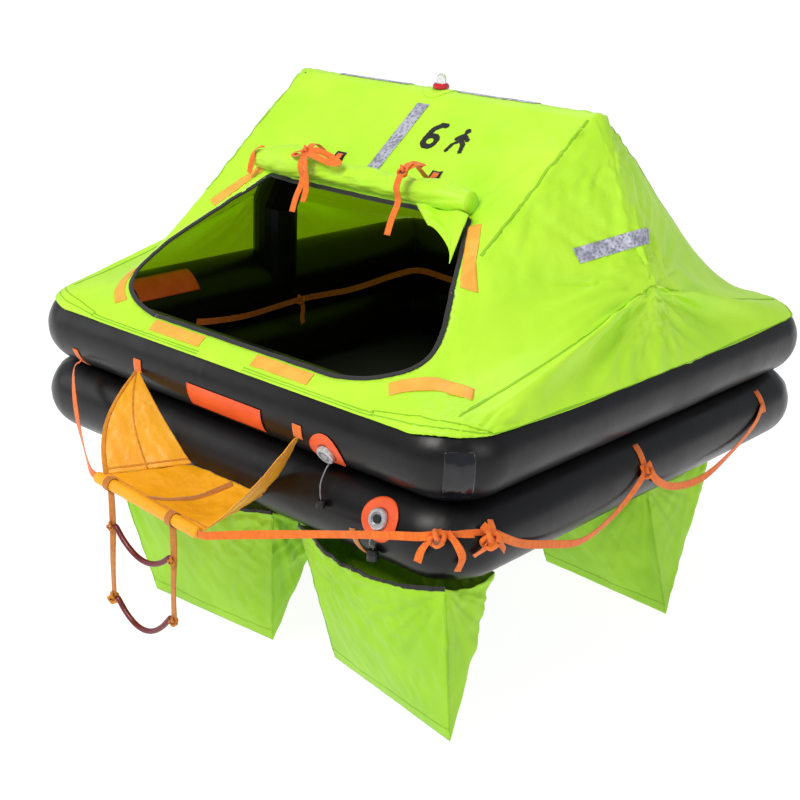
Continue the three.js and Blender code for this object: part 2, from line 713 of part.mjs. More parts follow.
function valve(name, x, centreZ, degreesUp, tube, poppetColour) {
  const frame = tubeFrame(x, centreZ, degreesUp);
  const radii = [VALVE_R + GAP + 1, (VALVE_R + VALVE_RING_R) / 2, VALVE_RING_R];
  add(name + "_ring", drape([tube], frame, rings(radii), TAPE, LABEL_LIFT), COLOURS.label);
  const group = new THREE.Group();
  group.applyMatrix4(frame);
  raft.add(group);
  const bore = STEM_R + GAP;
  const body = [
    [0, GAP], [VALVE_R, GAP], [VALVE_R, VALVE_HEIGHT - 3], [VALVE_R - 3, VALVE_HEIGHT],
    [RECESS_R, VALVE_HEIGHT], [RECESS_R, RECESS_FLOOR], [bore, RECESS_FLOOR], [bore, BORE_FLOOR],
    [0, BORE_FLOOR],
  ];
  add(name + "_body", turned(body), COLOURS.steel, 0.4, 0.6, group);
  const poppet = [
    [0, STEM_BOTTOM], [STEM_R, STEM_BOTTOM], [STEM_R, HEAD_BOTTOM], [HEAD_R, HEAD_BOTTOM],
    [HEAD_R, HEAD_BOTTOM + HEAD_THICK], [0, HEAD_BOTTOM + HEAD_THICK],
  ];
  add(name + "_poppet", turned(poppet), poppetColour, 0.4, 0.3, group);
}

valve("relief_valve", RELIEF_X, UPPER_Z, RELIEF_ANGLE, upperTube, COLOURS.steel);
valve("inflation_valve", INFLATION_X, LOWER_Z, INFLATION_ANGLE, lowerTube, COLOURS.black);

// Tethered plug and cap, hanging against the lower tube
const TETHER_R = 2;
const PLUG_R = 14;
const CAP_R = 18;
const tubeFace = (z) => -HALF_Y - Math.sqrt(TUBE_R ** 2 - (z - LOWER_Z) ** 2);

function hangingCap(name, r, long, x, z, colour) {
  const cap = turned([[0, 0], [r, 0], [r, long * 0.6], [r * 0.7, long], [0, long]], 16);
  add(name, cap.translate(x, tubeFace(z + long / 2) - r - 2, z), colour, 0.5);
}

const plugTop = 172;
hangingCap("relief_valve_plug", PLUG_R, 22, RELIEF_X + 8, plugTop - 22, COLOURS.black);
const reliefRoute = [
  [RELIEF_X, -985, 273], [RELIEF_X + 1, -1002, 257], [RELIEF_X + 5, -1025, 226],
  [RELIEF_X + 8, -1030, 194], [RELIEF_X + 8, tubeFace(plugTop - 11) - PLUG_R - 2, plugTop + 2 * GAP],
];
add("relief_valve_tether", cordThrough(reliefRoute, 2 * TETHER_R, 2 * TETHER_R), COLOURS.black, 0.6);

const capTop = 82;
hangingCap("inflation_valve_cap", CAP_R, 30, INFLATION_X - 10, capTop - 30, COLOURS.black);
const inflationRoute = [
  [INFLATION_X, -1025.3, 149.2], [INFLATION_X - 2, -1038, 130],
  [INFLATION_X - 9, -1034, 104], [INFLATION_X - 10, tubeFace(capTop - 15) - CAP_R - 2, capTop + 10],
  [INFLATION_X - 10, tubeFace(capTop - 15) - CAP_R - 2, capTop + GAP],
];
add("inflation_valve_tether", cordThrough(inflationRoute, 2 * TETHER_R, 2 * TETHER_R), COLOURS.black, 0.6);

// Boarding step: a fabric seat between a bar and the lower tube, held up by two side panels
const barFrom = vec(...BAR_LEFT);
const barTo = vec(...BAR_RIGHT);
const barAxis = barTo.clone().sub(barFrom).normalize();
const barFrame = frameAt(barFrom, Y, barAxis);
const barLong = barTo.distanceTo(barFrom);
const onBar = (fraction, back = 0) => barFrom.clone().lerp(barTo, fraction).add(vec(0, back, 0));

const bar = turned([[0, 0], [BAR_R, 0], [BAR_R, barLong], [0, barLong]]);
add("step_bar", placed(bar, barFrame), COLOURS.step, 0.6);

const bulge = (t) => Math.sin(Math.PI * t);
const LOOP_R = BAR_R + 0.5;
const webs = [
  { side: "left", x: -210, bottom: -332 },
  { side: "right", x: 86, bottom: -299 },
];
const webFraction = ({ x }) => (x - barFrom.x) / (barTo.x - barFrom.x);
const seatBack = BAR_R + 2 * GAP;
const seatInner = (t, y) => vec(blend(SEAT_LEFT, SEAT_RIGHT, t), y, SEAT_Z);
const loopCutter = (web) => {
  const margin = 2;
  const r = LOOP_R + WEBBING + margin;
  const disc = new THREE.CylinderGeometry(r, r, STRAP_WIDTH + 2 * margin, 24).rotateX(Math.PI / 2);
  return placed(disc.translate(0, 0, STRAP_WIDTH / 2), frameAt(onBar(webFraction(web)), Y, barAxis));
};

function stepSeat() {
  const edge = 2.6; // beside the panels
  const inner = tubeFace(SEAT_Z - edge) - 2 * GAP;
  const grid = steps(5).map((v) =>
    steps(6).map((u) => {
      const inset = edge / blend(barLong, SEAT_RIGHT - SEAT_LEFT, v);
      const across = blend(inset, 1 - inset, u);
      const dip = 28 * bulge(v) * bulge(u) + 3 * v;
      return onBar(across, seatBack).lerp(seatInner(across, inner), v).add(vec(0, 0, -dip));
    }),
  );
  return cut(thicken(surface(gridFaces(grid)), CLOTH), ...webs.map(loopCutter));
}

add("step_seat", stepSeat(), COLOURS.step, 0.7);

function stepSide(end, [apexX, apexZ]) {
  const side = end ? 1 : -1;
  const inner = -HALF_Y - TUBE_R - 2 * GAP - 1;
  const apexY = -HALF_Y - Math.sqrt(TUBE_R ** 2 - (apexZ - UPPER_Z) ** 2) - 2 * GAP;
  const apex = vec(apexX, apexY, apexZ);
  const grid = steps(5).map((v) =>
    steps(4).map((u) => {
      const low = onBar(end, seatBack).lerp(seatInner(end, inner), u).add(vec(0, 0, CLOTH * (1 - u)));
      const high = apex.clone().add(vec(0, -14 * (1 - u), 0));
      const belly = vec(side * 34 * (1 - 0.6 * u), -30 * (1 - u), 0).multiplyScalar(bulge(v));
      return low.lerp(high, v).add(belly);
    }),
  );
  return thicken(surface(gridFaces(grid)), CLOTH);
}

add("step_side_left", stepSide(0, APEX_LEFT), COLOURS.step, 0.7);
add("step_side_right", stepSide(1, APEX_RIGHT), COLOURS.step, 0.7);

// Ladder: two webs that loop round the bar and carry two sagging hose rungs
function ladderWeb(web) {
  const centre = onBar(webFraction(web));
  const outer = LOOP_R + WEBBING;
  const ring = [[LOOP_R, 0], [outer, 0], [outer, STRAP_WIDTH], [LOOP_R, STRAP_WIDTH], [LOOP_R, 0]];
  const loop = placed(turned(ring), frameAt(centre, Y, barAxis));
  const top = centre.z - LOOP_R - WEBBING + 0.5;
  const middle = [centre.x + STRAP_WIDTH / 2, centre.y, (top + web.bottom) / 2];
  return join(loop, box(STRAP_WIDTH, 2 * WEBBING, top - web.bottom, ...middle));
}

for (const web of webs) add("ladder_web_" + web.side, ladderWeb(web), COLOURS.web, 0.8);

function rung(leftZ, rightZ, sag) {
  const from = vec(webs[0].x + STRAP_WIDTH + GAP, BAR_LEFT[1], leftZ);
  const to = vec(webs[1].x - GAP, BAR_LEFT[1], rightZ);
  const level = 8; // the hose leaves each web square to it
  const inner = steps(8).map((t) => {
    const p = from.clone().lerp(to, t);
    return [blend(from.x + level, to.x - level, t), p.y, p.z - sag * 4 * t * (1 - t)];
  });
  return cordThrough([from.toArray(), ...inner, to.toArray()], 2 * RUNG_R, 2 * RUNG_R, 10, 1.4);
}

add("rung_upper", rung(-68, -82, 62), COLOURS.hose, 0.35);
add("rung_lower", rung(-318, -286, 76), COLOURS.hose, 0.35);

// Grab lines of webbing: points chosen by hand along each span, with ends that rest on the tubes
const onTube = (up, degrees, off) => tubePoint(LOWER_Z, TUBE_R + off, up, FRONT_RIGHT, degrees).toArray();
const grabLines = {
  grab_line_left: [
    [-706, -987.6, 289], [-690, -1030, 262], [-590, -1098, 180], [-440, -1180, 112], [-330, -1238, 82],
    [-285, -1254.5, 77], [-264, -1255, 75.1],
  ],
  grab_line_front: [
    [214, -1255, 47], [238, -1254, 47], [350, -1204, 72], [560, -1122, 120], [760, -1056, 165],
    [860, -1014, 182], onTube(28, 34, 2),
  ],
  grab_line_right_front: [
    onTube(28, 60, 2.6), onTube(24, 76, 6),
    [996, -880, 166], [998, -792, 150], [998, -616, 75], [998, -434, 26], [998, -260, 62],
    [1000, -128, 142], [987, -112, 176],
  ],
  grab_line_right_back: [
    [987.5, -86, 176], [998, -40, 110], [998, 80, 50], [998, 263, 26], [998, 440, 66],
    [998, 590, 130], [984, 668, 180],
  ],
  grab_line_left_side: [
    [-985, 690, 180], [-998, 600, 130], [-998, 420, 70], [-998, 150, 30], [-998, -120, 40],
    [-998, -420, 70], [-998, -700, 130], [-985, -800, 180],
  ],
  grab_line_back: [
    [-760, 1009, 180], [-680, 1022, 140], [-440, 1024, 80], [-120, 1024, 40], [180, 1024, 44],
    [460, 1024, 90], [690, 1022, 140], [760, 1009, 180],
  ],
};
// Level direction out of the raft near a point, turned smoothly round the corners.
function outOfRaft({ x, y }) {
  const reach = (value, half) => Math.sign(value) * Math.exp((Math.abs(value) - half + CORNER_R) / 40);
  return vec(reach(x, HALF_X), reach(y, HALF_Y), 0).normalize();
}

// Flat webbing that faces out of the raft all along its path.
function webbingThrough(points) {
  const curve = curveThrough(points);
  const count = Math.min(80, Math.ceil(curve.getLength() / (2.5 * STRAP_WIDTH)));
  const rings = curve.getSpacedPoints(count).map((p, i) => {
    const along = curve.getTangentAt(i / count);
    const wide = along.clone().cross(outOfRaft(p)).normalize();
    const thick = wide.clone().cross(along);
    return steps(8).slice(1).map((t) => {
      const angle = 2 * Math.PI * t + Math.PI / 8;
      const [w, h] = [(STRAP_WIDTH / 2) * Math.cos(angle), (WEBBING / 2) * Math.sin(angle)];
      return p.clone().addScaledVector(wide, w).addScaledVector(thick, h);
    });
  });
  return loft(rings);
}
for (const [name, route] of Object.entries(grabLines))
  add(name, webbingThrough(route), COLOURS.orange, 0.8);
const interiorRoute = [
  [-751.6, -440, 306], [-738, -380, 300], [-736, -200, 288], [-735, 80, 300], [-735, 380, 290], [-733, 640, 306],
  [-700, 752, 312],
  [-560, 762, 306], [-250, 762, 286], [50, 762, 300], [350, 762, 286], [600, 764, 300], [655, 776.6, 306],
];
add("interior_line", webbingThrough(interiorRoute), COLOURS.orange, 0.8);

// Ballast pockets, open at the top: two panels that meet in a seam, closed by a triangle at each end
const underTube = (out) => LOWER_Z - Math.sqrt(TUBE_R ** 2 - out ** 2);
const FLOOR_UNDER = -GAP - CLOTH / 4; // the panels reach it at a slant

function pocket({ left, right, front, rear, seam, sagged }) {
  const [seamLeft, seamRight] = seam.map(([x, y]) => vec(x, y, -POCKET_DEPTH));
  const grid = steps(6).map((u) => {
    const x = blend(left.x, right.x, u);
    const open = vec(x, front.y - 34 * bulge(u) * sagged, front.z - POCKET_HANG * bulge(u));
    const back = vec(x, rear, FLOOR_UNDER);
    const low = seamLeft.clone().lerp(seamRight, u);
    return [open, open.clone().lerp(low, 0.5), low, low.clone().lerp(back, 0.5), back];
  });
  const faces = gridFaces(grid);
  for (const [row, turn] of [
    [grid[0], true],
    [grid.at(-1), false],
  ]) {
    const [open, openMid, low, backMid, back] = row;
    const level = open.clone().lerp(back, 0.5).setZ(Math.min(open.z, back.z) - 26);
    const fanned = [
      [open, level, openMid], [level, backMid, openMid], [openMid, backMid, low], [level, back, backMid],
    ];
    fanned.forEach(([a, b, c]) => faces.push(turn ? [a, b, c] : [a, c, b]));
  }
  return thicken(surface(faces), CLOTH);
}

const frontEdge = { y: -HALF_Y - POCKET_OUT, z: underTube(POCKET_OUT) - GAP - 1.5 * CLOTH };
const pockets = {
  ballast_pocket_front_left: {
    left: { x: -600 }, right: { x: 213 }, front: frontEdge, rear: -700, sagged: 1,
    seam: [[-425, -905], [118, -862]],
  },
  ballast_pocket_front_right: {
    left: { x: 328 }, right: { x: 905 }, front: frontEdge, rear: -741, sagged: 1,
    seam: [[337, -795], [905, -895]],
  },
  ballast_pocket_back_right: {
    left: { x: 335 }, right: { x: 862 }, front: { y: 135, z: FLOOR_UNDER }, rear: 549, sagged: 0,
    seam: [[400, 270], [935, 240]],
  },
  ballast_pocket_back_left: {
    left: { x: -862 }, right: { x: -335 }, front: { y: 135, z: FLOOR_UNDER }, rear: 549, sagged: 0,
    seam: [[-890, 300], [-400, 330]],
  },
};
for (const [name, size] of Object.entries(pockets)) add(name, pocket(size), COLOURS.pocket, 0.6);

// Gas cylinder with its head, straps and hose
const NECK_R = 16;
const HEAD_LONG = 46;
const cylinderZ = -GAP - CYLINDER_R - WEBBING - GAP;
const cylinderGroup = new THREE.Group();
cylinderGroup.position.set(-CYLINDER_LONG / 2, CYLINDER_Y, cylinderZ);
cylinderGroup.rotation.y = Math.PI / 2;
raft.add(cylinderGroup);
const shoulder = 40;
const bottle = [
  [0, 0], [CYLINDER_R - 18, 0], [CYLINDER_R, 18], [CYLINDER_R, CYLINDER_LONG - shoulder],
  [NECK_R + 14, CYLINDER_LONG - 8], [NECK_R, CYLINDER_LONG], [0, CYLINDER_LONG],
];
add("gas_cylinder", turned(bottle), COLOURS.cylinder, 0.5, 0.2, cylinderGroup);
const head = [[0, 0], [22, 0], [22, HEAD_LONG - 8], [14, HEAD_LONG], [0, HEAD_LONG]];
const headStart = CYLINDER_LONG + GAP;
add("cylinder_head", turned(head, 12).translate(0, 0, headStart), COLOURS.brass, 0.4, 0.8, cylinderGroup);
function cylinderStrap() {
  const inner = CYLINDER_R + GAP;
  const ring = [[inner, 0], [inner + WEBBING, 0], [inner + WEBBING, 40], [inner, 40], [inner, 0]];
  return turned(ring, 24);
}
for (const [side, at] of [["left", 80], ["right", 290]])
  add("cylinder_strap_" + side, cylinderStrap().translate(0, 0, at), COLOURS.black, 0.8, 0, cylinderGroup);
const hoseStart = CYLINDER_LONG / 2 + HEAD_LONG + 2 * GAP;
const hoseRoute = [
  [hoseStart, CYLINDER_Y, cylinderZ], [hoseStart + 40, CYLINDER_Y, cylinderZ],
  [hoseStart + 90, CYLINDER_Y + 40, -40],
  [hoseStart + 110, CYLINDER_Y + 120, -18], [hoseStart + 112, HALF_Y - 60, -12],
  [hoseStart + 112, HALF_Y + 14, -8], [hoseStart + 112, HALF_Y + 40, -8.5],
];
add("inflation_hose", cordThrough(hoseRoute, 16, 16, 12, 2), COLOURS.black, 0.6);

export default raft;
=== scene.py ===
"""Looks of the inflated liferaft: fabric, tubes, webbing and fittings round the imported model."""

import json
import math

import bmesh
import bpy
from mathutils import Matrix, Vector, noise
from mathutils.bvhtree import BVHTree

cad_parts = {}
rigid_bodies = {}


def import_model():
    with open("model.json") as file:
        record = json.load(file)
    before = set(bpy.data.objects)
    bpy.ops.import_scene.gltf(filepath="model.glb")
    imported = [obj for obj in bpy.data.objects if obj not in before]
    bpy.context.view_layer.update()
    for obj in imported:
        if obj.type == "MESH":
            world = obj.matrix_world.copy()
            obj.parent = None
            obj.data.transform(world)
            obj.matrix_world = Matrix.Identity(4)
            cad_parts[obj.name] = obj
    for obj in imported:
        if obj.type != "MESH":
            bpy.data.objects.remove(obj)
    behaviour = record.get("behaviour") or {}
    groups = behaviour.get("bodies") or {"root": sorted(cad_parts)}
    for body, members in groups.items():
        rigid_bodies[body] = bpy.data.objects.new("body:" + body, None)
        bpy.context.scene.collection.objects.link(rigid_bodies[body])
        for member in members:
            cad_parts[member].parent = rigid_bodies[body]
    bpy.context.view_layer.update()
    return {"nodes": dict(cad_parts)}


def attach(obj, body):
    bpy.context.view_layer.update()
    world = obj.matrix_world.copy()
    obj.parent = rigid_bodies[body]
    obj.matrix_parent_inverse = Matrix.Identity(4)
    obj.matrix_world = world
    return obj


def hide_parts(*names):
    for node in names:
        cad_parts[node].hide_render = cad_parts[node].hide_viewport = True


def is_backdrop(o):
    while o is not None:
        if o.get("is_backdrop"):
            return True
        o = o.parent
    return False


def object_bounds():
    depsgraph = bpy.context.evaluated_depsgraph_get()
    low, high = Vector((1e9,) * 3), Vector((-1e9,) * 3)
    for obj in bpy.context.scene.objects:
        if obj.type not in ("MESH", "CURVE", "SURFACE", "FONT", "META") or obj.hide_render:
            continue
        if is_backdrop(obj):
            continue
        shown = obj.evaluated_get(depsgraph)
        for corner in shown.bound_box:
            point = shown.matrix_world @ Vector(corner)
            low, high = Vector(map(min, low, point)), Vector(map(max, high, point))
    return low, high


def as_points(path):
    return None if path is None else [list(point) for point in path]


for leftover in list(bpy.data.objects):
    bpy.data.objects.remove(leftover)
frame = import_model()
nodes = frame["nodes"]
MM = 0.001
RAFT = "raft"
LADDER = "ladder"

# Sizes in millimetres, as in the part's source
TUBE_R = 125
HALF_X = 865
HALF_Y = 890
CORNER_R = 80
LOWER_Z = 129.3
UPPER_Z = 372.3
ARCH_R = 85
LEG_X = 800
KNUCKLE_Z = 690
SHOULDER_X = 586
RIDGE_Z = 1118
FABRIC_OFF = 2.8  # middle of the fabric, out from a tube
TUBE_PRESS = 121.35  # from a tube's middle to where the two press flat
WAVE_SCALE = 314  # a wave texture's scale times its spacing in millimetres
RAY_START = 400  # how far outside a surface a ray starts
RAY_REACH = 900
SKIRT_ANGLE = 38.4
CORNER_SKIRT_ANGLE = 43
HIP_SAG = 62
END_SAG = 50
POCKET_DEPTH = 500
SLOPE_TILT = math.atan2(RIDGE_Z - UPPER_Z, HALF_Y) - math.asin(
    (TUBE_R - ARCH_R) / math.hypot(HALF_Y, RIDGE_Z - UPPER_Z)
)


def vec(x, y, z):
    return Vector((x, y, z))


X, Y, Z = vec(1, 0, 0), vec(0, 1, 0), vec(0, 0, 1)
SLOPE_UP = vec(0, math.cos(SLOPE_TILT), math.sin(SLOPE_TILT))
SLOPE_OUT = X.cross(SLOPE_UP)
SLOPE_FOOT = vec(0, -HALF_Y, UPPER_Z) + SLOPE_OUT * (TUBE_R + FABRIC_OFF)


def blend(a, b, t):
    return a + (b - a) * t


def clamp(t):
    return min(1.0, max(0.0, t))


def smooth(t):
    t = clamp(t)
    return t * t * (3 - 2 * t)


def along(knots, t):
    """Value at T on a smooth line through (place, value) pairs."""
    for (t0, v0), (t1, v1) in zip(knots, knots[1:]):
        if t <= t1:
            return blend(v0, v1, smooth((t - t0) / (t1 - t0)) * 0.5 + clamp((t - t0) / (t1 - t0)) * 0.5)
    return knots[-1][1]


def curve_point(points, t):
    """Point at T, from 0 to 1, on a smooth curve through evenly spaced POINTS."""
    last = len(points) - 1
    i = min(int(t * last), last - 1)
    f = t * last - i
    p1, p2 = points[i], points[i + 1]
    p0 = points[i - 1] if i else p1 * 2 - p2
    p3 = points[i + 2] if i + 2 <= last else p2 * 2 - p1
    return 0.5 * (
        p1 * 2 + (p2 - p0) * f + (p0 * 2 - p1 * 5 + p2 * 4 - p3) * f * f
        + (p1 * 3 - p0 - p2 * 3 + p3) * f**3
    )


def resampled(points, count):
    """COUNT + 1 points at even steps along the smooth curve through POINTS."""
    fine = [curve_point([Vector(p) for p in points], i / 400) for i in range(401)]
    reach = [0.0]
    for a, b in zip(fine, fine[1:]):
        reach.append(reach[-1] + (b - a).length)
    out, j = [], 0
    for k in range(count + 1):
        want = reach[-1] * k / count
        while j < 399 and reach[j + 1] < want:
            j += 1
        out.append(fine[j].lerp(fine[j + 1], clamp((want - reach[j]) / max(reach[j + 1] - reach[j], 1e-9))))
    return out


def route_length(points):
    return sum((Vector(b) - Vector(a)).length for a, b in zip(points, points[1:]))


# Camera, at the photograph's place
camera_data = bpy.data.cameras.new("camera")
camera_data.sensor_width = 36
camera_data.lens = 62.649
camera = bpy.data.objects.new("camera", camera_data)
bpy.context.scene.collection.objects.link(camera)
camera_axes = Matrix(
    (
        (0.74391122, -0.25483485, 0.61778257),
        (0.66709973, 0.22829342, -0.70912627),
        (0.03967439, 0.93964957, 0.3398303),
    )
)
camera.matrix_world = Matrix.Translation((3.05238, -3.64598, 1.80994)) @ camera_axes.to_4x4()
bpy.context.scene.camera = camera


# Materials
def colour(hex_code, alpha=1.0):
    """sRGB hex to linear."""
    parts = [int(hex_code[i : i + 2], 16) / 255 for i in (1, 3, 5)]
    return tuple(c / 12.92 if c <= 0.04045 else ((c + 0.055) / 1.055) ** 2.4 for c in parts) + (alpha,)


def node(tree, kind, inputs=None, **settings):
    """Adds one shader node. INPUTS gives its sockets a value or the socket that feeds them."""
    made = tree.nodes.new("ShaderNode" + kind)
    for key, value in settings.items():
        setattr(made, key, value)
    for key, value in (inputs or {}).items():
        if isinstance(value, bpy.types.NodeSocket):
            tree.links.new(value, made.inputs[key])
        else:
            made.inputs[key].default_value = value
    return made


def material(name, base, roughness, **sockets):
    """A principled material with plain values. Returns it with its tree and shader."""
    made = bpy.data.materials.new(name)
    made.use_nodes = True
    shader = made.node_tree.nodes["Principled BSDF"]
    shader.inputs["Base Color"].default_value = colour(base)
    shader.inputs["Roughness"].default_value = roughness
    for key, value in sockets.items():
        shader.inputs[key.replace("_", " ").title().replace("Ior", "IOR")].default_value = value
    made.diffuse_color = colour(base)
    return made, made.node_tree, shader


def blotches(tree, shader, coordinates, light, dark, scale):
    """Colour that drifts between two shades."""
    cloud = node(tree, "TexNoise", {"Vector": coordinates, "Scale": scale, "Detail": 3.0})
    ramp = node(tree, "ValToRGB", {"Fac": cloud.outputs["Fac"]})
    ramp.color_ramp.elements[0].position = 0.35
    ramp.color_ramp.elements[0].color = colour(dark)
    ramp.color_ramp.elements[1].position = 0.65
    ramp.color_ramp.elements[1].color = colour(light)
    tree.links.new(ramp.outputs["Color"], shader.inputs["Base Color"])


def coated_cloth(name, light, dark, roughness, thread_mm, crumple_mm, crumple_depth, **sockets):
    """Woven nylon with a coat: even colour, soft sheen, fine threads and small creases."""
    made, tree, shader = material(name, light, roughness, **sockets)
    place = node(tree, "TexCoord").outputs["Object"]
    blotches(tree, shader, place, light, dark, 4.0)
    across = node(tree, "TexWave", {"Vector": place, "Scale": WAVE_SCALE / thread_mm}, bands_direction="X")
    upward = node(tree, "TexWave", {"Vector": place, "Scale": WAVE_SCALE / thread_mm}, bands_direction="Z")
    threads = node(tree, "Math", {0: across.outputs["Fac"], 1: upward.outputs["Fac"]}, operation="MULTIPLY")
    weave = node(tree, "Bump", {"Strength": 0.12, "Distance": 0.0004, "Height": threads.outputs["Value"]})
    folds = node(
        tree, "TexNoise",
        {"Vector": place, "Scale": 1000 / crumple_mm, "Detail": 3.0, "Roughness": 0.45, "Distortion": 0.9},
    )
    creased = node(
        tree, "Bump",
        {
            "Strength": 0.5, "Distance": crumple_depth * MM, "Height": folds.outputs["Fac"],
            "Normal": weave.outputs["Normal"],
        },
    )
    tree.links.new(creased.outputs["Normal"], shader.inputs["Normal"])
    return made


def webbing(name, light, dark, thread_mm=4.0):
    """Woven polyester strap: matt, with a herringbone of ribs along it."""
    made, tree, shader = material(name, light, 0.75, sheen_weight=0.25, sheen_roughness=0.5)
    place = node(tree, "TexCoord").outputs["UV"]
    blotches(tree, shader, place, light, dark, 60.0)
    slant = node(tree, "Mapping", {"Vector": place, "Rotation": (0, 0, math.radians(35))})
    ribs = node(
        tree, "TexWave", {"Vector": slant.outputs["Vector"], "Scale": WAVE_SCALE / thread_mm},
        bands_direction="X",
    )
    bump = node(tree, "Bump", {"Strength": 0.5, "Distance": 0.0006, "Height": ribs.outputs["Fac"]})
    tree.links.new(bump.outputs["Normal"], shader.inputs["Normal"])
    return made


def tube_rubber():
    """Polyurethane-coated fabric blown tight: near black, satin, with long soft streaks and tiny grain."""
    made, tree, shader = material("satin_coated_tube", "#0B0A0D", 0.34, specular_ior_level=0.32)
    place = node(tree, "TexCoord").outputs["Object"]
    blotches(tree, shader, place, "#0E0D10", "#070608", 3.0)
    cloud = node(tree, "TexNoise", {"Vector": place, "Scale": 5.0, "Detail": 4.0})
    gloss = node(
        tree, "MapRange",
        {"Value": cloud.outputs["Fac"], "From Min": 0.3, "From Max": 0.7, "To Min": 0.24, "To Max": 0.42},
    )
    tree.links.new(gloss.outputs["Result"], shader.inputs["Roughness"])
    dents = node(tree, "TexNoise", {"Vector": place, "Scale": 9.0, "Detail": 2.0, "Distortion": 0.6})
    grain = node(tree, "TexNoise", {"Vector": place, "Scale": 420.0, "Detail": 1.0})
    fine = node(tree, "Bump", {"Strength": 0.12, "Distance": 0.0005, "Height": grain.outputs["Fac"]})
    soft = node(
        tree, "Bump",
        {
            "Strength": 0.35, "Distance": 0.004, "Height": dents.outputs["Fac"],
            "Normal": fine.outputs["Normal"],
        },
    )
    tree.links.new(soft.outputs["Normal"], shader.inputs["Normal"])
    return made


def silver_film():
    """Glass-bead reflective film: grey-lilac and cracked into facets where it creases, with painted glints:
    its colour is painted lighter and darker facet by facet.
    """
    made, tree, shader = material("reflective_film", "#A4A4B6", 0.42, metallic=0.35)
    place = node(tree, "TexCoord").outputs["Object"]
    cells = node(tree, "TexVoronoi", {"Vector": place, "Scale": 90.0, "Randomness": 1.0}, feature="F1")
    cloud = node(tree, "TexNoise", {"Vector": place, "Scale": 14.0, "Detail": 3.0})
    patchy = node(
        tree, "Math", {0: cells.outputs["Distance"], 1: cloud.outputs["Fac"]}, operation="MULTIPLY",
    )
    # Painted glints: the facets are painted lighter and darker in the film's colour
    ramp = node(tree, "ValToRGB", {"Fac": patchy.outputs["Value"]})
    ramp.color_ramp.elements[0].position = 0.12
    ramp.color_ramp.elements[0].color = colour("#8C8CA2")
    ramp.color_ramp.elements[1].position = 0.36
    ramp.color_ramp.elements[1].color = colour("#C9C9D8")
    tree.links.new(ramp.outputs["Color"], shader.inputs["Base Color"])
    bump = node(tree, "Bump", {"Strength": 0.7, "Distance": 0.003, "Height": patchy.outputs["Value"]})
    tree.links.new(bump.outputs["Normal"], shader.inputs["Normal"])
    return made


def bonded_patch(name, light, dark, roughness=0.5):
    """Smooth coated fabric glued down: flat colour with faint mottling and a few soft ripples."""
    made, tree, shader = material(name, light, roughness)
    place = node(tree, "TexCoord").outputs["Object"]
    blotches(tree, shader, place, light, dark, 18.0)
    ripples = node(tree, "TexNoise", {"Vector": place, "Scale": 45.0, "Detail": 2.0})
    bump = node(tree, "Bump", {"Strength": 0.3, "Distance": 0.0015, "Height": ripples.outputs["Fac"]})
    tree.links.new(bump.outputs["Normal"], shader.inputs["Normal"])
    return made


def speckled(name, light, dark, roughness, scale, depth_mm, **sockets):
    """Moulded, cast or machined surfaces: slight tone changes and a fine relief."""
    made, tree, shader = material(name, light, roughness, **sockets)
    place = node(tree, "TexCoord").outputs["Object"]
    blotches(tree, shader, place, light, dark, scale / 6)
    grain = node(tree, "TexNoise", {"Vector": place, "Scale": scale, "Detail": 2.0})
    bump = node(tree, "Bump", {"Strength": 0.3, "Distance": depth_mm * MM, "Height": grain.outputs["Fac"]})
    tree.links.new(bump.outputs["Normal"], shader.inputs["Normal"])
    return made


# Threads of 0.5 mm can't show at this distance, so the weave is drawn at 4 mm.
canopy_nylon = coated_cloth(
    "coated_canopy_nylon", "#C0F230", "#B2EA22", 0.5, 4.0, 90, 5.0, sheen_weight=0.1, sheen_roughness=0.4,
)
# The canopy's inner side: a darker copy of the canopy cloth with a painted glow (emission), standing in for
# daylight that comes through the cloth
inside_painted_glow = coated_cloth(
    "canopy_inside_painted_glow", "#A4D40A", "#94C400", 0.7, 4.0, 90, 5.0, emission_color=colour("#9CCC04"),
    emission_strength=0.3,
)
pocket_nylon = coated_cloth(
    "plain_pocket_nylon", "#A2DA0C", "#92CC04", 0.6, 5.0, 60, 5.0, sheen_weight=0.1, sheen_roughness=0.5,
)
step_cloth = coated_cloth(
    "coated_step_cloth", "#FBB104", "#EFA000", 0.42, 5.0, 45, 4.0, sheen_weight=0.05, sheen_roughness=0.4,
)
floor_cloth = coated_cloth("coated_floor_cloth", "#232227", "#1A191D", 0.6, 6.0, 120, 6.0)
rubber = tube_rubber()
film = silver_film()
orange_patch = bonded_patch("orange_bonded_patch", "#FAB443", "#F5A638", 0.5)
label_vinyl = bonded_patch("orange_label_vinyl", "#F4602A", "#E9541F", 0.42)
black_patch = bonded_patch("black_bonded_patch", "#17171A", "#0F0F11", 0.35)
gloss_patch = bonded_patch("glossy_corner_patch", "#1B1B20", "#101014", 0.14)
orange_web = webbing("orange_webbing", "#F2760E", "#E06404")
brown_web = webbing("amber_webbing", "#C87818", "#B06610")
black_tape = webbing("black_edge_tape", "#141416", "#0C0C0D")
hose_rubber = speckled("wine_red_hose", "#74141F", "#5E0F18", 0.3, 300, 0.2)
valve_alloy = speckled("anodised_valve_alloy", "#D6D6D8", "#BEBEC2", 0.3, 500, 0.1, metallic=0.6)
black_plastic = speckled("moulded_black_plastic", "#19191B", "#101011", 0.4, 500, 0.1)
light_red = speckled("red_light_plastic", "#D3222C", "#B81A24", 0.3, 400, 0.1)
print_ink = speckled("black_screen_print", "#16180F", "#0E100A", 0.6, 400, 0.1)
cylinder_paint = speckled("enamelled_steel_bottle", "#6F7E34", "#64722C", 0.4, 200, 0.2)
brass = speckled("turned_brass", "#B8974A", "#A28340", 0.3, 300, 0.1, metallic=1.0)
clear_lens, _, _ = material(
    "clear_acrylic_lens", "#F2F4F4", 0.08, transmission_weight=0.8, ior=1.49,
)

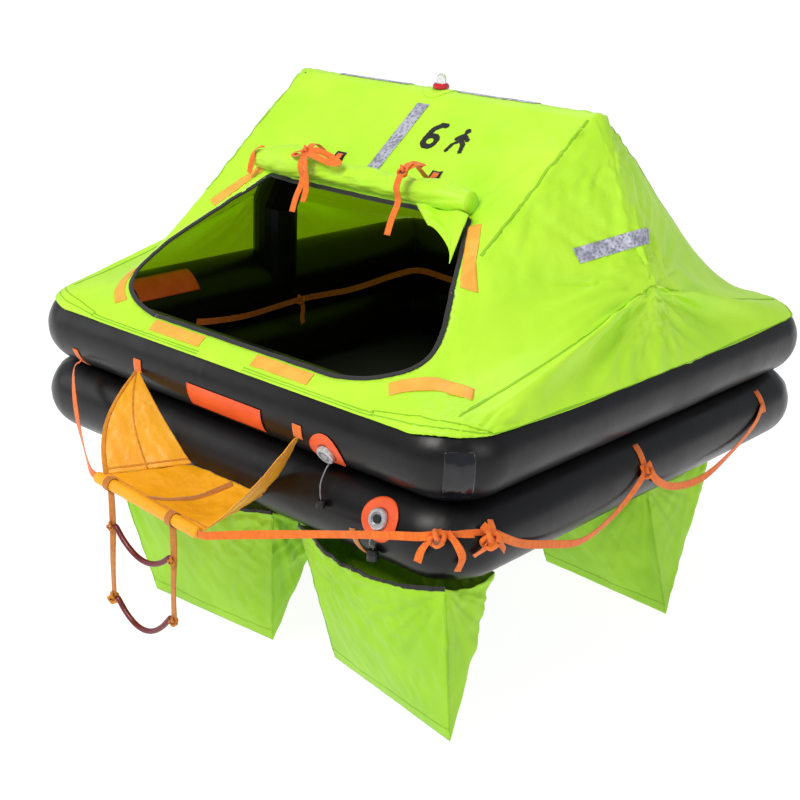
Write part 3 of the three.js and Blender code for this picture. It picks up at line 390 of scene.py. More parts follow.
node_finishes = {
    "arch_tube": rubber, "floor": floor_cloth, "light_base": light_red, "light_lens": clear_lens,
    "relief_valve_body": valve_alloy, "inflation_valve_body": valve_alloy,
    "relief_valve_poppet": valve_alloy, "inflation_valve_poppet": black_plastic,
    "relief_valve_plug": black_plastic, "inflation_valve_cap": black_plastic,
    "gas_cylinder": cylinder_paint, "cylinder_head": brass,
    "cylinder_strap_left": black_tape, "cylinder_strap_right": black_tape,
}
for name, finish in node_finishes.items():
    for place in nodes[name].material_slots:
        place.material = finish


# Making pieces
def finished(name, bm, finish, body=RAFT, replaces=(), thickness=0.0, inner=None):
    """Turns a bmesh, in millimetres, into a piece that rides on a body."""
    bm.transform(Matrix.Scale(MM, 4))
    mesh = bpy.data.meshes.new(name)
    bm.to_mesh(mesh)
    bm.free()
    mesh.shade_smooth()
    mesh.materials.append(finish)
    piece = bpy.data.objects.new(name, mesh)
    bpy.context.scene.collection.objects.link(piece)
    if thickness:
        wall = piece.modifiers.new("wall", "SOLIDIFY")
        wall.thickness = thickness * MM
        wall.offset = 0
        if inner:
            mesh.materials.append(inner)
            wall.material_offset = 1
    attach(piece, body)
    if replaces:
        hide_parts(*replaces)
    return piece


def laid(across, lengthwise, place, size=(1.0, 1.0)):
    """A grid whose point at (u, v), each 0 to 1, goes to PLACE(u, v). Its UV map is in metres of cloth."""
    bm = bmesh.new()
    uv = bm.loops.layers.uv.new("cloth")
    bmesh.ops.create_grid(bm, x_segments=across, y_segments=lengthwise, size=0.5, calc_uvs=False)
    for face in bm.faces:
        for loop in face.loops:
            u, v = loop.vert.co.x + 0.5, loop.vert.co.y + 0.5
            loop[uv].uv = (u * size[0] * MM, v * size[1] * MM)
    for vert in bm.verts:
        vert.co = place(clamp(vert.co.x + 0.5), clamp(vert.co.y + 0.5))
    return bm


def closed(bm):
    """Joins a grid's meeting edges and turns its faces out."""
    bmesh.ops.remove_doubles(bm, verts=bm.verts, dist=0.02)
    bmesh.ops.recalc_face_normals(bm, faces=bm.faces)
    return bm


def merged(first, *others):
    """One bmesh that holds them all."""
    for other in others:
        mesh = bpy.data.meshes.new("part")
        other.to_mesh(mesh)
        other.free()
        first.from_mesh(mesh)
        bpy.data.meshes.remove(mesh)
    return first


def pressed(bm, heights):
    """Moves each point out along its normal by HEIGHTS(point)."""
    bm.normal_update()
    moves = [(vert, vert.normal.copy() * heights(vert.co)) for vert in bm.verts]
    for vert, move in moves:
        vert.co += move
    return bm


def capped(bm):
    """Closes the open ends of a pipe."""
    edges = [edge for edge in bm.edges if edge.is_boundary]
    bmesh.ops.holes_fill(bm, edges=edges, sides=0)
    bmesh.ops.recalc_face_normals(bm, faces=bm.faces)
    return bm


def pipe(points, radius, sides=12, count=60, lumps=0.0):
    """A round cord or hose along points in millimetres."""
    path = resampled(points, count)
    tangents = [(path[min(i + 1, count)] - path[max(i - 1, 0)]).normalized() for i in range(count + 1)]
    side = tangents[0].orthogonal().normalized()
    sides_at = []
    for tangent in tangents:
        side = (side - tangent * side.dot(tangent)).normalized()
        sides_at.append(side)
    size = radius if callable(radius) else (lambda t: radius)

    def place(u, v):
        i = round(v * count)
        angle = 2 * math.pi * u
        r = size(v) * (1 + lumps * noise.noise(vec(path[i].x / 9, path[i].y / 9, u * 3)))
        return path[i] + (
            sides_at[i] * math.cos(angle) + tangents[i].cross(sides_at[i]) * math.sin(angle)
        ) * r

    long = route_length(path)
    return capped(closed(laid(sides, count, place, (2 * math.pi * size(0.5), long)))), path


def out_of_raft(p):
    """Level direction out of the raft near a point, turned smoothly round the corners."""
    x = math.copysign(math.exp(min(40.0, (abs(p.x) - HALF_X + CORNER_R) / 40)), p.x)
    y = math.copysign(math.exp(min(40.0, (abs(p.y) - HALF_Y + CORNER_R) / 40)), p.y)
    return vec(x, y, 0).normalized()


def strap(points, width, facing=out_of_raft, thick=2.4, count=70, twist=None):
    """Flat webbing along points, facing the way FACING(point) says. Returns its mesh and its middle line."""
    path = resampled(points, count)

    def place(u, v):
        i = round(v * count)
        tangent = (path[min(i + 1, count)] - path[max(i - 1, 0)]).normalized()
        face = Vector(facing(path[i])) if callable(facing) else Vector(facing)
        wide = tangent.cross(face).normalized()
        if twist:
            wide = Matrix.Rotation(twist(v), 3, tangent) @ wide
        flat = wide.cross(tangent)
        angle = 2 * math.pi * u + math.pi / 4
        edge = (
            abs(math.cos(angle)) ** 0.25 * math.copysign(1, math.cos(angle)),
            abs(math.sin(angle)) ** 0.25 * math.copysign(1, math.sin(angle)),
        )
        return path[i] + wide * (width / 2 * edge[0]) + flat * (thick / 2 * edge[1])

    bm = laid(16, count, place, (2 * width, route_length(path)))
    return capped(closed(bm)), path


def metres(path):
    return [tuple(p * MM) for p in path]


# Buoyancy tubes
CORNERS = [(1, 1), (-1, 1), (-1, -1), (1, -1)]


def plan_point(offset, corner, degrees):
    radius = max(CORNER_R + offset, 3)
    sx, sy = CORNERS[corner]
    angle = math.radians(90 * corner + degrees)
    return (
        sx * (HALF_X + offset - radius) + radius * math.cos(angle),
        sy * (HALF_Y + offset - radius) + radius * math.sin(angle),
    )


def tube_stations():
    """Places round the plan: close together at the corners, wider apart along the sides."""
    stations = []
    for corner in range(4):
        stations += [(corner, 90 * i / 16, None) for i in range(17)]
        stations += [(corner, 90, i / 36) for i in range(1, 36)]
    return stations + [stations[0]]


STATIONS = tube_stations()


def tube_surface(centre_z, offset, up, station):
    """Point on the skin of a tube: UP in degrees above its outer side."""
    corner, degrees, part = station
    out = offset * math.cos(math.radians(up))
    x, y = plan_point(out, corner, degrees)
    if part is not None:
        nx, ny = plan_point(out, (corner + 1) % 4, 0)
        x, y = blend(x, nx, part), blend(y, ny, part)
    return vec(x, y, centre_z + offset * math.sin(math.radians(up)))


FLAT = math.degrees(math.asin(TUBE_PRESS / TUBE_R))  # where the two tubes press flat on each other


def buoyancy_tube(name, centre_z, flat_side):
    """A tight tube with puckers at its corners and a flat where it meets the other one."""
    last = len(STATIONS) - 1

    def place(u, v):
        up = flat_side * blend(-180 - FLAT, FLAT, u)
        return tube_surface(centre_z, TUBE_R, up, STATIONS[round(v * last)])

    bm = laid(64, last, place, (785, 7000))
    bmesh.ops.remove_doubles(bm, verts=bm.verts, dist=0.02)
    rims = [edge for edge in bm.edges if edge.is_boundary]
    bmesh.ops.bridge_loops(bm, edges=rims)
    bmesh.ops.recalc_face_normals(bm, faces=bm.faces)

    def puckers(p):
        dx, dy = abs(p.x) - (HALF_X - CORNER_R), abs(p.y) - (HALF_Y - CORNER_R)
        near = math.exp(-(((dx - dy) / 60) ** 2)) if dx > -170 and dy > -170 else 0.0
        seed = 3.7 * math.copysign(1, p.x) + 1.9 * math.copysign(1, p.y)
        folds = (
            noise.noise(vec((dx - dy) / 14, p.z / 90, seed)) * 5
            + noise.noise(vec((dx - dy) / 8, p.z / 40, seed)) * 2
        )
        return folds * near + 0.8 * noise.noise(p / 200) - 0.9

    pressed(bm, puckers)
    bvh = BVHTree.FromBMesh(bm)
    return finished(name + "_skin", bm, rubber, replaces=(name,)), bvh


_, lower_bvh = buoyancy_tube("lower_tube", LOWER_Z, 1)
_, upper_bvh = buoyancy_tube("upper_tube", UPPER_Z, -1)


# Canopy: one quarter is worked out in columns, the rest mirrors it, then the cloth gets its folds
FABRIC_R = TUBE_R + FABRIC_OFF
ARCH_FABRIC_R = ARCH_R + FABRIC_OFF
ARCH = [vec(SHOULDER_X, 0, RIDGE_Z), vec(LEG_X, 0, KNUCKLE_Z), vec(LEG_X, 0, UPPER_Z)]
LEG_OUT = (ARCH[1] - ARCH[0]).normalized().cross(Y)
SHOULDER_MITRE = (LEG_OUT + Z).normalized()
KNUCKLE_MITRE = (LEG_OUT + X).normalized()
SKIRT_ROWS, SLOPE_ROWS, WRAP_ROWS = 7, 54, 9


def tangent_angle(centre, radius, point, up, out, turn):
    d = point - centre
    a, b = d.dot(up), d.dot(out)
    return math.degrees(math.atan2(b, a) + turn * math.acos(radius / math.hypot(a, b)))


def rim(place, up):
    radius = FABRIC_R + place["lift"]
    x, y = place["at"](radius * math.cos(math.radians(up)))
    return vec(x, y, UPPER_Z + radius * math.sin(math.radians(up)))


def on_front(x, lift=0):
    return {"lift": lift, "seam": SKIRT_ANGLE, "out": -Y, "at": lambda off: (x, -HALF_Y - off)}


def on_corner(degrees):
    turn = math.radians(270 + degrees)
    return {
        "lift": 5, "seam": CORNER_SKIRT_ANGLE, "out": vec(math.cos(turn), math.sin(turn), 0),
        "at": lambda off: plan_point(off, 3, degrees),
    }


def on_end(y):
    return {"lift": 0, "seam": SKIRT_ANGLE, "out": X.copy(), "at": lambda off: (HALF_X + off, y)}


def column(place, pull, top_of):
    centre = vec(*place["at"](0), UPPER_Z)

    def leave(target):
        return max(place["seam"], 90 - tangent_angle(centre, FABRIC_R, target, Z, place["out"], 1))

    top = top_of(centre)
    taut = rim(place, leave(top))
    top = top_of(taut)
    control = (taut + top) / 2 + pull
    lift = leave(control)
    top = top_of(control)
    foot = rim(place, lift)
    skirt = [rim(place, blend(place["seam"], lift, i / SKIRT_ROWS)) for i in range(SKIRT_ROWS)]
    slope = []
    for i in range(SLOPE_ROWS + 1):
        t = i / SLOPE_ROWS
        slope.append(foot * (1 - t) ** 2 + control * 2 * t * (1 - t) + top * t * t)
    return skirt + slope


def arch_point(station, radius, degrees):
    centre, out, stretch = station
    angle = math.radians(degrees)
    return centre + out * (radius * stretch * math.cos(angle)) - Y * (radius * math.sin(angle))


def leg(t, out=None, stretch=1.0):
    return ARCH[0].lerp(ARCH[1], t), out or LEG_OUT, stretch


def canopy_columns():
    hip = lambda t: blend(SHOULDER_X, HALF_X - CORNER_R, t)
    mitre_s, mitre_k = 1 / SHOULDER_MITRE.dot(LEG_OUT), 1 / KNUCKLE_MITRE.dot(LEG_OUT)
    plan = [
        (on_front(0), (vec(0, 0, RIDGE_Z), Z, 1.0), 0),
        (on_front(SHOULDER_X), leg(0, SHOULDER_MITRE, mitre_s), 0),
        (on_front(hip(0.2), 4), leg(0.12), 0.1), (on_front(hip(0.45), 4), leg(0.26), 0.45),
        (on_front(hip(0.75), 4), leg(0.44), 0.88), (on_front(hip(1), 5), leg(0.64), 1),
        (on_corner(22.5), leg(0.83), 0.75), (on_corner(45), leg(1, KNUCKLE_MITRE, mitre_k), 0.3),
    ]
    down = vec(0, RIDGE_Z - UPPER_Z, -HALF_Y).normalized()
    fronts, wraps = [], []
    for place, station, sag in plan:
        radius = ARCH_FABRIC_R + (5 if place["lift"] == 5 else 0)
        found = []

        def top_of(target):
            found.append(tangent_angle(station[0], ARCH_FABRIC_R, target, station[1], -Y, -1))
            return arch_point(station, radius, found[-1])

        points = column(place, down * (2 * HIP_SAG * sag), top_of)
        wrap = [
            arch_point(station, radius, found[-1] * (1 - i / WRAP_ROWS)) for i in range(1, WRAP_ROWS + 1)
        ]
        fronts.append(points + wrap)
        wraps.append((station, radius, found[-1]))
    station, radius, angle = wraps[-1]
    ends = [fronts[-1][: SKIRT_ROWS + SLOPE_ROWS + 1]]
    half = HALF_Y - CORNER_R
    for j, (place, sag) in enumerate(
        [
            (on_corner(67.5), 0.1), (on_corner(90), 0.4), (on_end(-0.62 * half), 0.9),
            (on_end(-0.31 * half), 0.5), (on_end(0), 0.1),
        ]
    ):
        top = arch_point(station, radius, angle * (1 - (j + 1) / 5))
        ends.append(column(place, X * (-2 * END_SAG * sag), lambda target: top.copy()))
    return fronts, ends


def between(columns, t):
    """Column at T, a smooth curve through the given ones."""
    i = min(int(t), len(columns) - 2)
    f = t - i
    a, b = columns[i], columns[i + 1]
    before = columns[i - 1] if i else [p * 2 - q for p, q in zip(a, b)]
    after = columns[i + 2] if i + 2 < len(columns) else [q * 2 - p for p, q in zip(a, b)]
    out = []
    for p0, p1, p2, p3 in zip(before, a, b, after):
        out.append(
            0.5 * (
                p1 * 2 + (p2 - p0) * f + (p0 * 2 - p1 * 5 + p2 * 4 - p3) * f * f
                + (p1 * 3 - p0 - p2 * 3 + p3) * f**3
            )
        )
    return out


def canopy_grid(columns, count, sx, sy):
    """A quarter's panel as a grid, mirrored to the corner with the signs SX and SY."""
    table = [between(columns, i / count * (len(columns) - 1)) for i in range(count + 1)]
    rows = len(table[0]) - 1

    def place(u, v):
        p = table[round(u * count)][round(v * rows)]
        return vec(p.x * sx, p.y * sy, p.z)

    return laid(count, rows, place)


def door_outline():
    """The door's edge in slope coordinates, anticlockwise."""
    points = []

    def curve(a, b, c, n=8):
        for i in range(n):
            t = i / n
            points.append(
                (
                    (1 - t) ** 2 * a[0] + 2 * t * (1 - t) * b[0] + t * t * c[0],
                    (1 - t) ** 2 * a[1] + 2 * t * (1 - t) * b[1] + t * t * c[1],
                )
            )

    def line(a, b, n):
        for i in range(n):
            points.append((blend(a[0], b[0], i / n), blend(a[1], b[1], i / n)))

    line((-380, 57), (420, 57), 50)
    curve((420, 57), (655, 90), (655, 235), 22)
    curve((655, 235), (640, 384), (483, 700), 34)
    line((483, 700), (-385, 700), 54)
    curve((-385, 700), (-575, 384), (-625, 235), 34)
    curve((-625, 235), (-625, 90), (-380, 57), 22)
    return points


DOOR = door_outline()


def slope_coordinates(p):
    d = p - SLOPE_FOOT
    return d.x, d.dot(SLOPE_UP), d.dot(SLOPE_OUT)


def on_slope(x, s, lift=0.0):
    return SLOPE_FOOT + X * x + SLOPE_UP * s + SLOPE_OUT * lift


def inside_door(x, s):
    hit = False
    for (x0, y0), (x1, y1) in zip(DOOR, DOOR[1:] + DOOR[:1]):
        if (y0 > s) != (y1 > s) and x < (x1 - x0) * (s - y0) / (y1 - y0) + x0:
            hit = not hit
    return hit


def nearest_on_door(x, s):
    best = None
    for (x0, y0), (x1, y1) in zip(DOOR, DOOR[1:] + DOOR[:1]):
        dx, dy = x1 - x0, y1 - y0
        t = clamp(((x - x0) * dx + (s - y0) * dy) / (dx * dx + dy * dy))
        gap = math.hypot(x - x0 - t * dx, s - y0 - t * dy)
        if best is None or gap < best[0]:
            best = (gap, x0 + t * dx, y0 + t * dy)
    return best


def ridged(p, sharp=1.0):
    return 1 - abs(noise.noise(p)) * 2 * sharp


def spokes(p, centre, near, far, freq, seed):
    """Folds that run out from a point and fade with the distance."""
    d = p - centre
    reach = d.length
    if reach > far or reach < 1:
        return 0.0
    d = d / reach
    fade = smooth(reach / near) * (1 - smooth((reach - near) / (far - near)))
    return fade * (ridged(vec(d.x * freq, d.y * freq + seed, d.z * freq + reach / 900)) - 0.5)


FOLD_CENTRES = [
    (on_slope(483, 700), 60, 420, 6.5, 2.0, 9.0), (on_slope(-420, 735), 60, 380, 6.0, 5.0, 8.0),
    (on_slope(586, 1000), 60, 620, 7.0, 1.0, 9.0), (on_slope(255, 822), 30, 260, 5.0, 3.0, 7.0),
    (on_slope(-164, 822), 30, 260, 5.0, 4.0, 7.0), (vec(870, -60, 700), 150, 560, 5.5, 6.0, 12.0),
    (vec(-870, -60, 700), 150, 560, 5.5, 7.0, 12.0), (vec(870, 60, 700), 150, 560, 5.5, 8.0, 12.0),
    (vec(-870, 60, 700), 150, 560, 5.5, 9.0, 12.0), (vec(586, 90, 1110), 60, 620, 7.0, 10.0, 8.0),
    (vec(-586, 90, 1110), 60, 620, 7.0, 11.0, 8.0), (vec(900, -900, 460), 50, 420, 6.0, 12.0, 7.0),
]


def off_arch(p):
    """Distance from the arch tube's middle line."""
    p = vec(abs(p.x), p.y, p.z)
    gaps = []
    for a, b in zip([vec(0, 0, RIDGE_Z)] + ARCH, ARCH):
        t = clamp((p - a).dot(b - a) / (b - a).length_squared)
        gaps.append((p - a.lerp(b, t)).length)
    return min(gaps)


def canopy_folds(p):
    """Depth of the folds at a point, outward positive."""
    deep = (
        3.0 * noise.noise(p / 240) + 1.6 * noise.noise(vec(p.x / 55, p.y / 90, p.z / 110))
        + 0.8 * noise.noise(p / 28)
    )
    for centre, near, far, freq, seed, height in FOLD_CENTRES:
        deep += height * spokes(p, centre, near, far, freq, seed)
    hem = clamp(1 - (p.z - 450) / 90)
    deep += hem * 1.8 * noise.noise(vec(p.x / 18, p.y / 18, p.z / 90))
    ridge = clamp((p.z - RIDGE_Z) / 60) * clamp((SHOULDER_X + 20 - abs(p.x)) / 60)
    deep *= (1 - 0.75 * ridge) * clamp((p.z - 430) / 40)
    return max(deep, ARCH_R + 2.4 - off_arch(p))  # the arch tube never shows through


def canopy_cloth():
    fronts, ends = canopy_columns()
    grids = []
    for sx in (1, -1):
        for sy in (-1, 1):
            grids.append(canopy_grid(fronts[:2], 36, sx, sy))
            grids.append(canopy_grid(fronts[1:], 42, sx, sy))
            grids.append(canopy_grid(ends, 42, sx, sy))
    bm = merged(*grids)
    bmesh.ops.remove_doubles(bm, verts=bm.verts, dist=0.6)
    bmesh.ops.recalc_face_normals(bm, faces=bm.faces)
    bm.normal_update()
    top = max(bm.faces, key=lambda face: face.calc_center_median().z)
    if top.normal.z < 0:
        bmesh.ops.reverse_faces(bm, faces=bm.faces)
    pressed(bm, canopy_folds)
    whole = BVHTree.FromBMesh(bm)
    gone = []
    for vert in bm.verts:
        x, s, off = slope_coordinates(vert.co)
        if vert.co.y < 0 and abs(off) < 120 and 40 < s < 720 and abs(x) < 680 and inside_door(x, s):
            gone.append(vert)
    bmesh.ops.delete(bm, geom=gone, context="VERTS")
    for vert in [v for v in bm.verts if v.is_boundary]:
        x, s, off = slope_coordinates(vert.co)
        if vert.co.y < 0 and 30 < s < 730 and abs(off) < 120 and abs(x) < 700:
            gap, x, s = nearest_on_door(x, s)
            if gap < 40:
                vert.co = on_slope(x, s, off)
    return bm, whole


canopy_bm, canopy_whole = canopy_cloth()
canopy_bvh = BVHTree.FromBMesh(canopy_bm)
canopy_area = sum(face.calc_area() for face in canopy_bm.faces) * 1e-6
# The inside of the canopy gets the darker cloth with the painted glow
canopy = finished(
    "canopy_cloth", canopy_bm, canopy_nylon, replaces=("canopy",), thickness=2.4,
    inner=inside_painted_glow,
)


def onto(target, start, direction, lift):
    """Where a ray from START meets TARGET, LIFT above it; START moved as far if it misses."""
    hit = target.ray_cast(start, direction, RAY_REACH)[0]
    return (hit if hit else start + direction * RAY_START) - direction * lift


def draped(name, target, frame_at, grid, counts, size, finish, replaces=(), lift=3.4, thick=1.4):
    """Thin material laid on TARGET: GRID(u, v) gives the place in the frame's plane."""
    origin, across, up, out = frame_at

    def place(u, v):
        x, y = grid(u, v)
        return onto(target, origin + across * x + up * y + out * RAY_START, -out, lift)

    bm = laid(*counts, place, size)
    bmesh.ops.remove_doubles(bm, verts=bm.verts, dist=0.02)
    return finished(name, bm, finish, replaces=replaces, thickness=thick)


def slope_frame(x, s, turn=0.0):
    angle = math.radians(turn)
    across = X * math.cos(angle) + SLOPE_UP * math.sin(angle)
    return on_slope(x, s), across, SLOPE_OUT.cross(across), SLOPE_OUT


def bar_grid(w, h):
    return lambda u, v: ((u - 0.5) * w, (v - 0.5) * h)


def wavy(w, h):
    return lambda u, v: ((u - 0.5) * w, (v - 0.5) * h + 1.2 * noise.noise(vec(u * w / 30, 0.5, 2)))


# Closing tapes, patches and silver tapes
for side, x, s, turn in (
    ("bottom_left", -238, 21, 0), ("bottom_right", 240, 21, 0), ("left", -482, 642, 67),
    ("right", 576, 578, 118),
):
    draped(
        "closing_tape_" + side, canopy_whole, slope_frame(x, s, turn), wavy(240, 42), (34, 8), (240, 42),
        orange_patch, ("door_tape_" + side,),
    )
CORNER_TAPES = {
    "corner_left": (
        [(-580, 50), (-630, 92), (-664, 143), (-672, 190)],
        [(-545, 78), (-590, 110), (-620, 150), (-638, 214)],
    ),
    "corner_right": (
        [(640, 56), (682, 94), (748, 140), (841, 158)], [(612, 92), (655, 134), (722, 184), (809, 203)],
    ),
}
for side, (outer, inner) in CORNER_TAPES.items():
    outer = [vec(*p, 0) for p in outer]
    inner = [vec(*p, 0) for p in inner]

    def bent(u, v):
        p = curve_point(outer, v).lerp(curve_point(inner, v), u)
        return p.x, p.y

    draped(
        "closing_tape_" + side, canopy_whole, slope_frame(0, 0), bent, (8, 34), (42, 200), orange_patch,
        ("door_tape_" + side,),
    )
for side, x in (("left", -164), ("right", 255)):
    draped(
        "tie_base_" + side, canopy_whole, slope_frame(x, 822), bar_grid(42, 66), (6, 8), (42, 66),
        black_patch, ("tie_patch_" + side,), lift=3.6,
    )
draped(
    "slope_silver", canopy_whole, slope_frame(0, 962), bar_grid(50, 320), (10, 60), (50, 320), film,
    ("slope_tape",),
)
ridge_top = RIDGE_Z + ARCH_R
for side, x in (("left", -302), ("right", 238)):
    draped(
        "ridge_silver_" + side, canopy_whole, (vec(x, 14, ridge_top), X, Y, Z), bar_grid(320, 50), (60, 10),
        (320, 50), film, ("ridge_tape_" + side,),
    )
for side in (1, -1):
    out = vec(LEG_OUT.x * side, 0, LEG_OUT.z)
    middle = ARCH[0].lerp(ARCH[1], 0.72) + LEG_OUT * ARCH_R
    at = (vec(middle.x * side, -70, middle.z), Y, out.cross(Y), out)
    name = "right" if side > 0 else "left"
    draped(
        "end_silver_" + name, canopy_whole, at, bar_grid(320, 50), (60, 10), (320, 50), film,
        ("end_tape_" + name,),
    )


def round_grid(inner, outer):
    def grid(u, v):
        r = blend(inner, outer, v)
        return r * math.cos(2 * math.pi * u), r * math.sin(2 * math.pi * u)

    return grid


draped(
    "light_disc", canopy_whole, (vec(0, 0, ridge_top), X, Y, Z), round_grid(1, 61), (48, 12), (122, 122),
    canopy_nylon, ("light_patch",),
)


def tube_frame(x, centre_z, up):
    out = vec(0, -math.cos(math.radians(up)), math.sin(math.radians(up)))
    return vec(x, -HALF_Y, centre_z) + out * TUBE_R, X, out.cross(X), out


draped(
    "entry_label", upper_bvh, tube_frame(49, UPPER_Z, -20), bar_grid(335, 82), (30, 14), (335, 82),
    label_vinyl, ("boarding_label",),
)
relief_out = vec(0, -0.848, -0.53).normalized()
inflate_out = vec(0, -0.927, 0.375).normalized()
for name, at, out, target in (
    ("relief_valve", vec(477, -996, 306.1), relief_out, upper_bvh),
    ("inflation_valve", vec(696, -1005.9, 176.1), inflate_out, lower_bvh),
):
    draped(
        name + "_disc", target, (at, X, out.cross(X), out), round_grid(32.3, 65), (56, 6), (130, 130),
        label_vinyl, (name + "_ring",),
    )


# Seams sewn on the canopy, as thin raised strips
def stuck_strip(name, target, points, width, finish, lift=1.9, thick=0.8, count=80):
    """A strip that follows points, pulled to the nearest place on TARGET."""
    path = resampled(points, count)
    spots = [target.find_nearest(p) for p in path]

    def place(u, v):
        i = round(v * count)
        at, normal = spots[i][0], spots[i][1]
        ahead = (spots[min(i + 1, count)][0] - spots[max(i - 1, 0)][0]).normalized()
        side = ahead.cross(normal).normalized()
        spot = target.find_nearest(at + side * ((u - 0.5) * width))
        return spot[0] + spot[1] * lift

    bm = laid(3, count, place, (width, route_length(path)))
    return finished(name, bm, finish, thickness=thick)


seam_cloth = coated_cloth("canopy_seam_tape", "#93CC06", "#84BC00", 0.55, 4.0, 40, 2.0)
fronts, ends = canopy_columns()
for sx in (1, -1):
    for sy in (1, -1):
        mirror = lambda p: vec(p.x * sx, p.y * sy, p.z)
        label = ("right" if sx > 0 else "left") + ("_front" if sy > 0 else "_back")
        hip = [mirror(p) for p in fronts[1][SKIRT_ROWS : -WRAP_ROWS : 3]]
        if sy > 0:  # the door cuts into the lower part of the front ones
            hip = [p for p in hip if slope_coordinates(p)[1] > 520]
        knuckle = [mirror(p) for p in fronts[-1][SKIRT_ROWS::7]]
        stuck_strip("hip_seam_" + label, canopy_whole, hip, 9, seam_cloth)
        stuck_strip("corner_seam_" + label, canopy_whole, knuckle, 9, seam_cloth)
for turn, row in enumerate((2, 4)):
    for corner in range(4):
        sx, sy = CORNERS[corner]
        rows = (
            [between(fronts, i / 42 * 7)[row] for i in range(1, 43)]
            + [between(ends, i / 30 * 5)[row] for i in range(1, 31)]
        )
        line = [vec(p.x * sx, p.y * -sy, p.z) for p in rows]
        stuck_strip(
            f"hem_seam_{turn}_{corner}", canopy_whole, line, 3.5, seam_cloth, count=160,
        )

# Dark edging round the door, folded over the cloth's edge
edge_path = [canopy_bvh.find_nearest(on_slope(x, s, 0))[0] for x, s in DOOR[::2]]
edge_path.append(edge_path[0].copy())
edging, _ = strap(edge_path, 15, facing=SLOPE_OUT, thick=6.0, count=320)
finished("door_edging", edging, black_tape, replaces=("door_binding",))


# Ballast pockets: thin cloth bags that hang open, creased towards where they are held
def pocket_points(left, right, front_y, front_z, rear, seam, sagged):
    seam = [vec(*p, -POCKET_DEPTH) for p in seam]

    def front(u, v):
        bulge = math.sin(math.pi * u)
        top = vec(blend(left, right, u), front_y - 34 * bulge * sagged, front_z - 46 * bulge)
        low = seam[0].lerp(seam[1], u)
        return top.lerp(low, v) - Y * (14 * math.sin(math.pi * v) * bulge)

    def back(u, v):
        return vec(blend(left, right, u), rear, -4).lerp(seam[0].lerp(seam[1], u), v)

    return front, back


def ballast_pocket(name, seed, front, back, hangers):
    def end(u, low_v=1.0):
        def place(w, v):
            p = front(u, v).lerp(back(u, v), w)
            return p - Z * (26 * math.sin(math.pi * w) * (1 - v))

        return place

    long = (front(1, 0) - front(0, 0)).length
    grids = [
        laid(90, 60, front, (long, 520)), laid(90, 60, back, (long, 520)),
        laid(30, 60, end(0), (300, 500)), laid(30, 60, end(1), (300, 500)),
    ]
    bm = merged(*grids)
    bmesh.ops.remove_doubles(bm, verts=bm.verts, dist=0.5)
    bmesh.ops.recalc_face_normals(bm, faces=bm.faces)

    def folds(p):
        deep = (
            7 * noise.noise(vec(p.x / 110, p.y / 110, p.z / 200 + seed))
            + 3.0 * noise.noise(vec(p.x / 34, p.y / 34, p.z / 60 + seed))
        )
        deep += 1.5 * ridged(vec(p.x / 60 + p.z / 90, p.y / 60, seed))
        for at in hangers:
            deep += 11 * spokes(p, Vector(at), 60, 620, 6.0, seed)
        top = clamp((POCKET_DEPTH + p.z) / 60) * clamp((-p.z + 20) / 45)
        return deep * (0.25 + 0.75 * top)

    pressed(bm, folds)
    bvh = BVHTree.FromBMesh(bm)
    area = sum(face.calc_area() for face in bm.faces) * 1e-6
    piece = finished(name + "_cloth", bm, pocket_nylon, replaces=(name,), thickness=1.6)
    return bvh


POCKETS = {
    "ballast_pocket_front_left": (
        1.3, (-600, 213, -960, 19.4, -700, [(-425, -905), (118, -862)], 1),
        [(213, -960, 10), (-600, -960, 10), (150, -700, 0)],
    ),
    "ballast_pocket_front_right": (
        2.9, (328, 905, -960, 19.4, -741, [(337, -795), (905, -895)], 1),
        [(328, -960, 10), (905, -960, 10), (600, -741, 0)],
    ),
    "ballast_pocket_back_right": (
        4.1, (335, 862, 135, -4, 549, [(400, 270), (935, 240)], 0),
        [(335, 135, 0), (862, 135, 0), (600, 549, 0)],
    ),
    "ballast_pocket_back_left": (
        5.7, (-862, -335, 135, -4, 549, [(-890, 300), (-400, 330)], 0), [(-862, 135, 0), (-335, 135, 0)],
    ),
}
for name, (seed, shape, hangers) in POCKETS.items():
    front, back = pocket_points(*shape)
    bvh = ballast_pocket(name, seed, front, back, hangers)
    short = name.replace("ballast_pocket_", "")
    band = [front(i / 20, 0.925) for i in range(21)]
    stuck_strip(
        "pocket_hem_seam_" + short, bvh, band, 4, seam_cloth, lift=1.2, thick=0.6,
        count=120,
    )
    for end in (0, 1):
        side = [front(end, 0.03 + 0.92 * i / 12) for i in range(13)]
        stuck_strip(
            f"pocket_side_seam_{short}_{end}", bvh, side, 7, seam_cloth, lift=1.4,
            thick=0.8, count=60,
        )
    rim_line = [bvh.find_nearest(front(i / 40, 0.0))[0] for i in range(41)]
    binding, _ = strap(
        rim_line, 13, facing=-Y, thick=4.5, count=160,
        twist=lambda v: 0.35 * noise.noise(vec(v * 30, seed, 0)),
    )
    finished(
        "pocket_edge_" + short, binding, black_tape if "front" in short else pocket_nylon,
    )


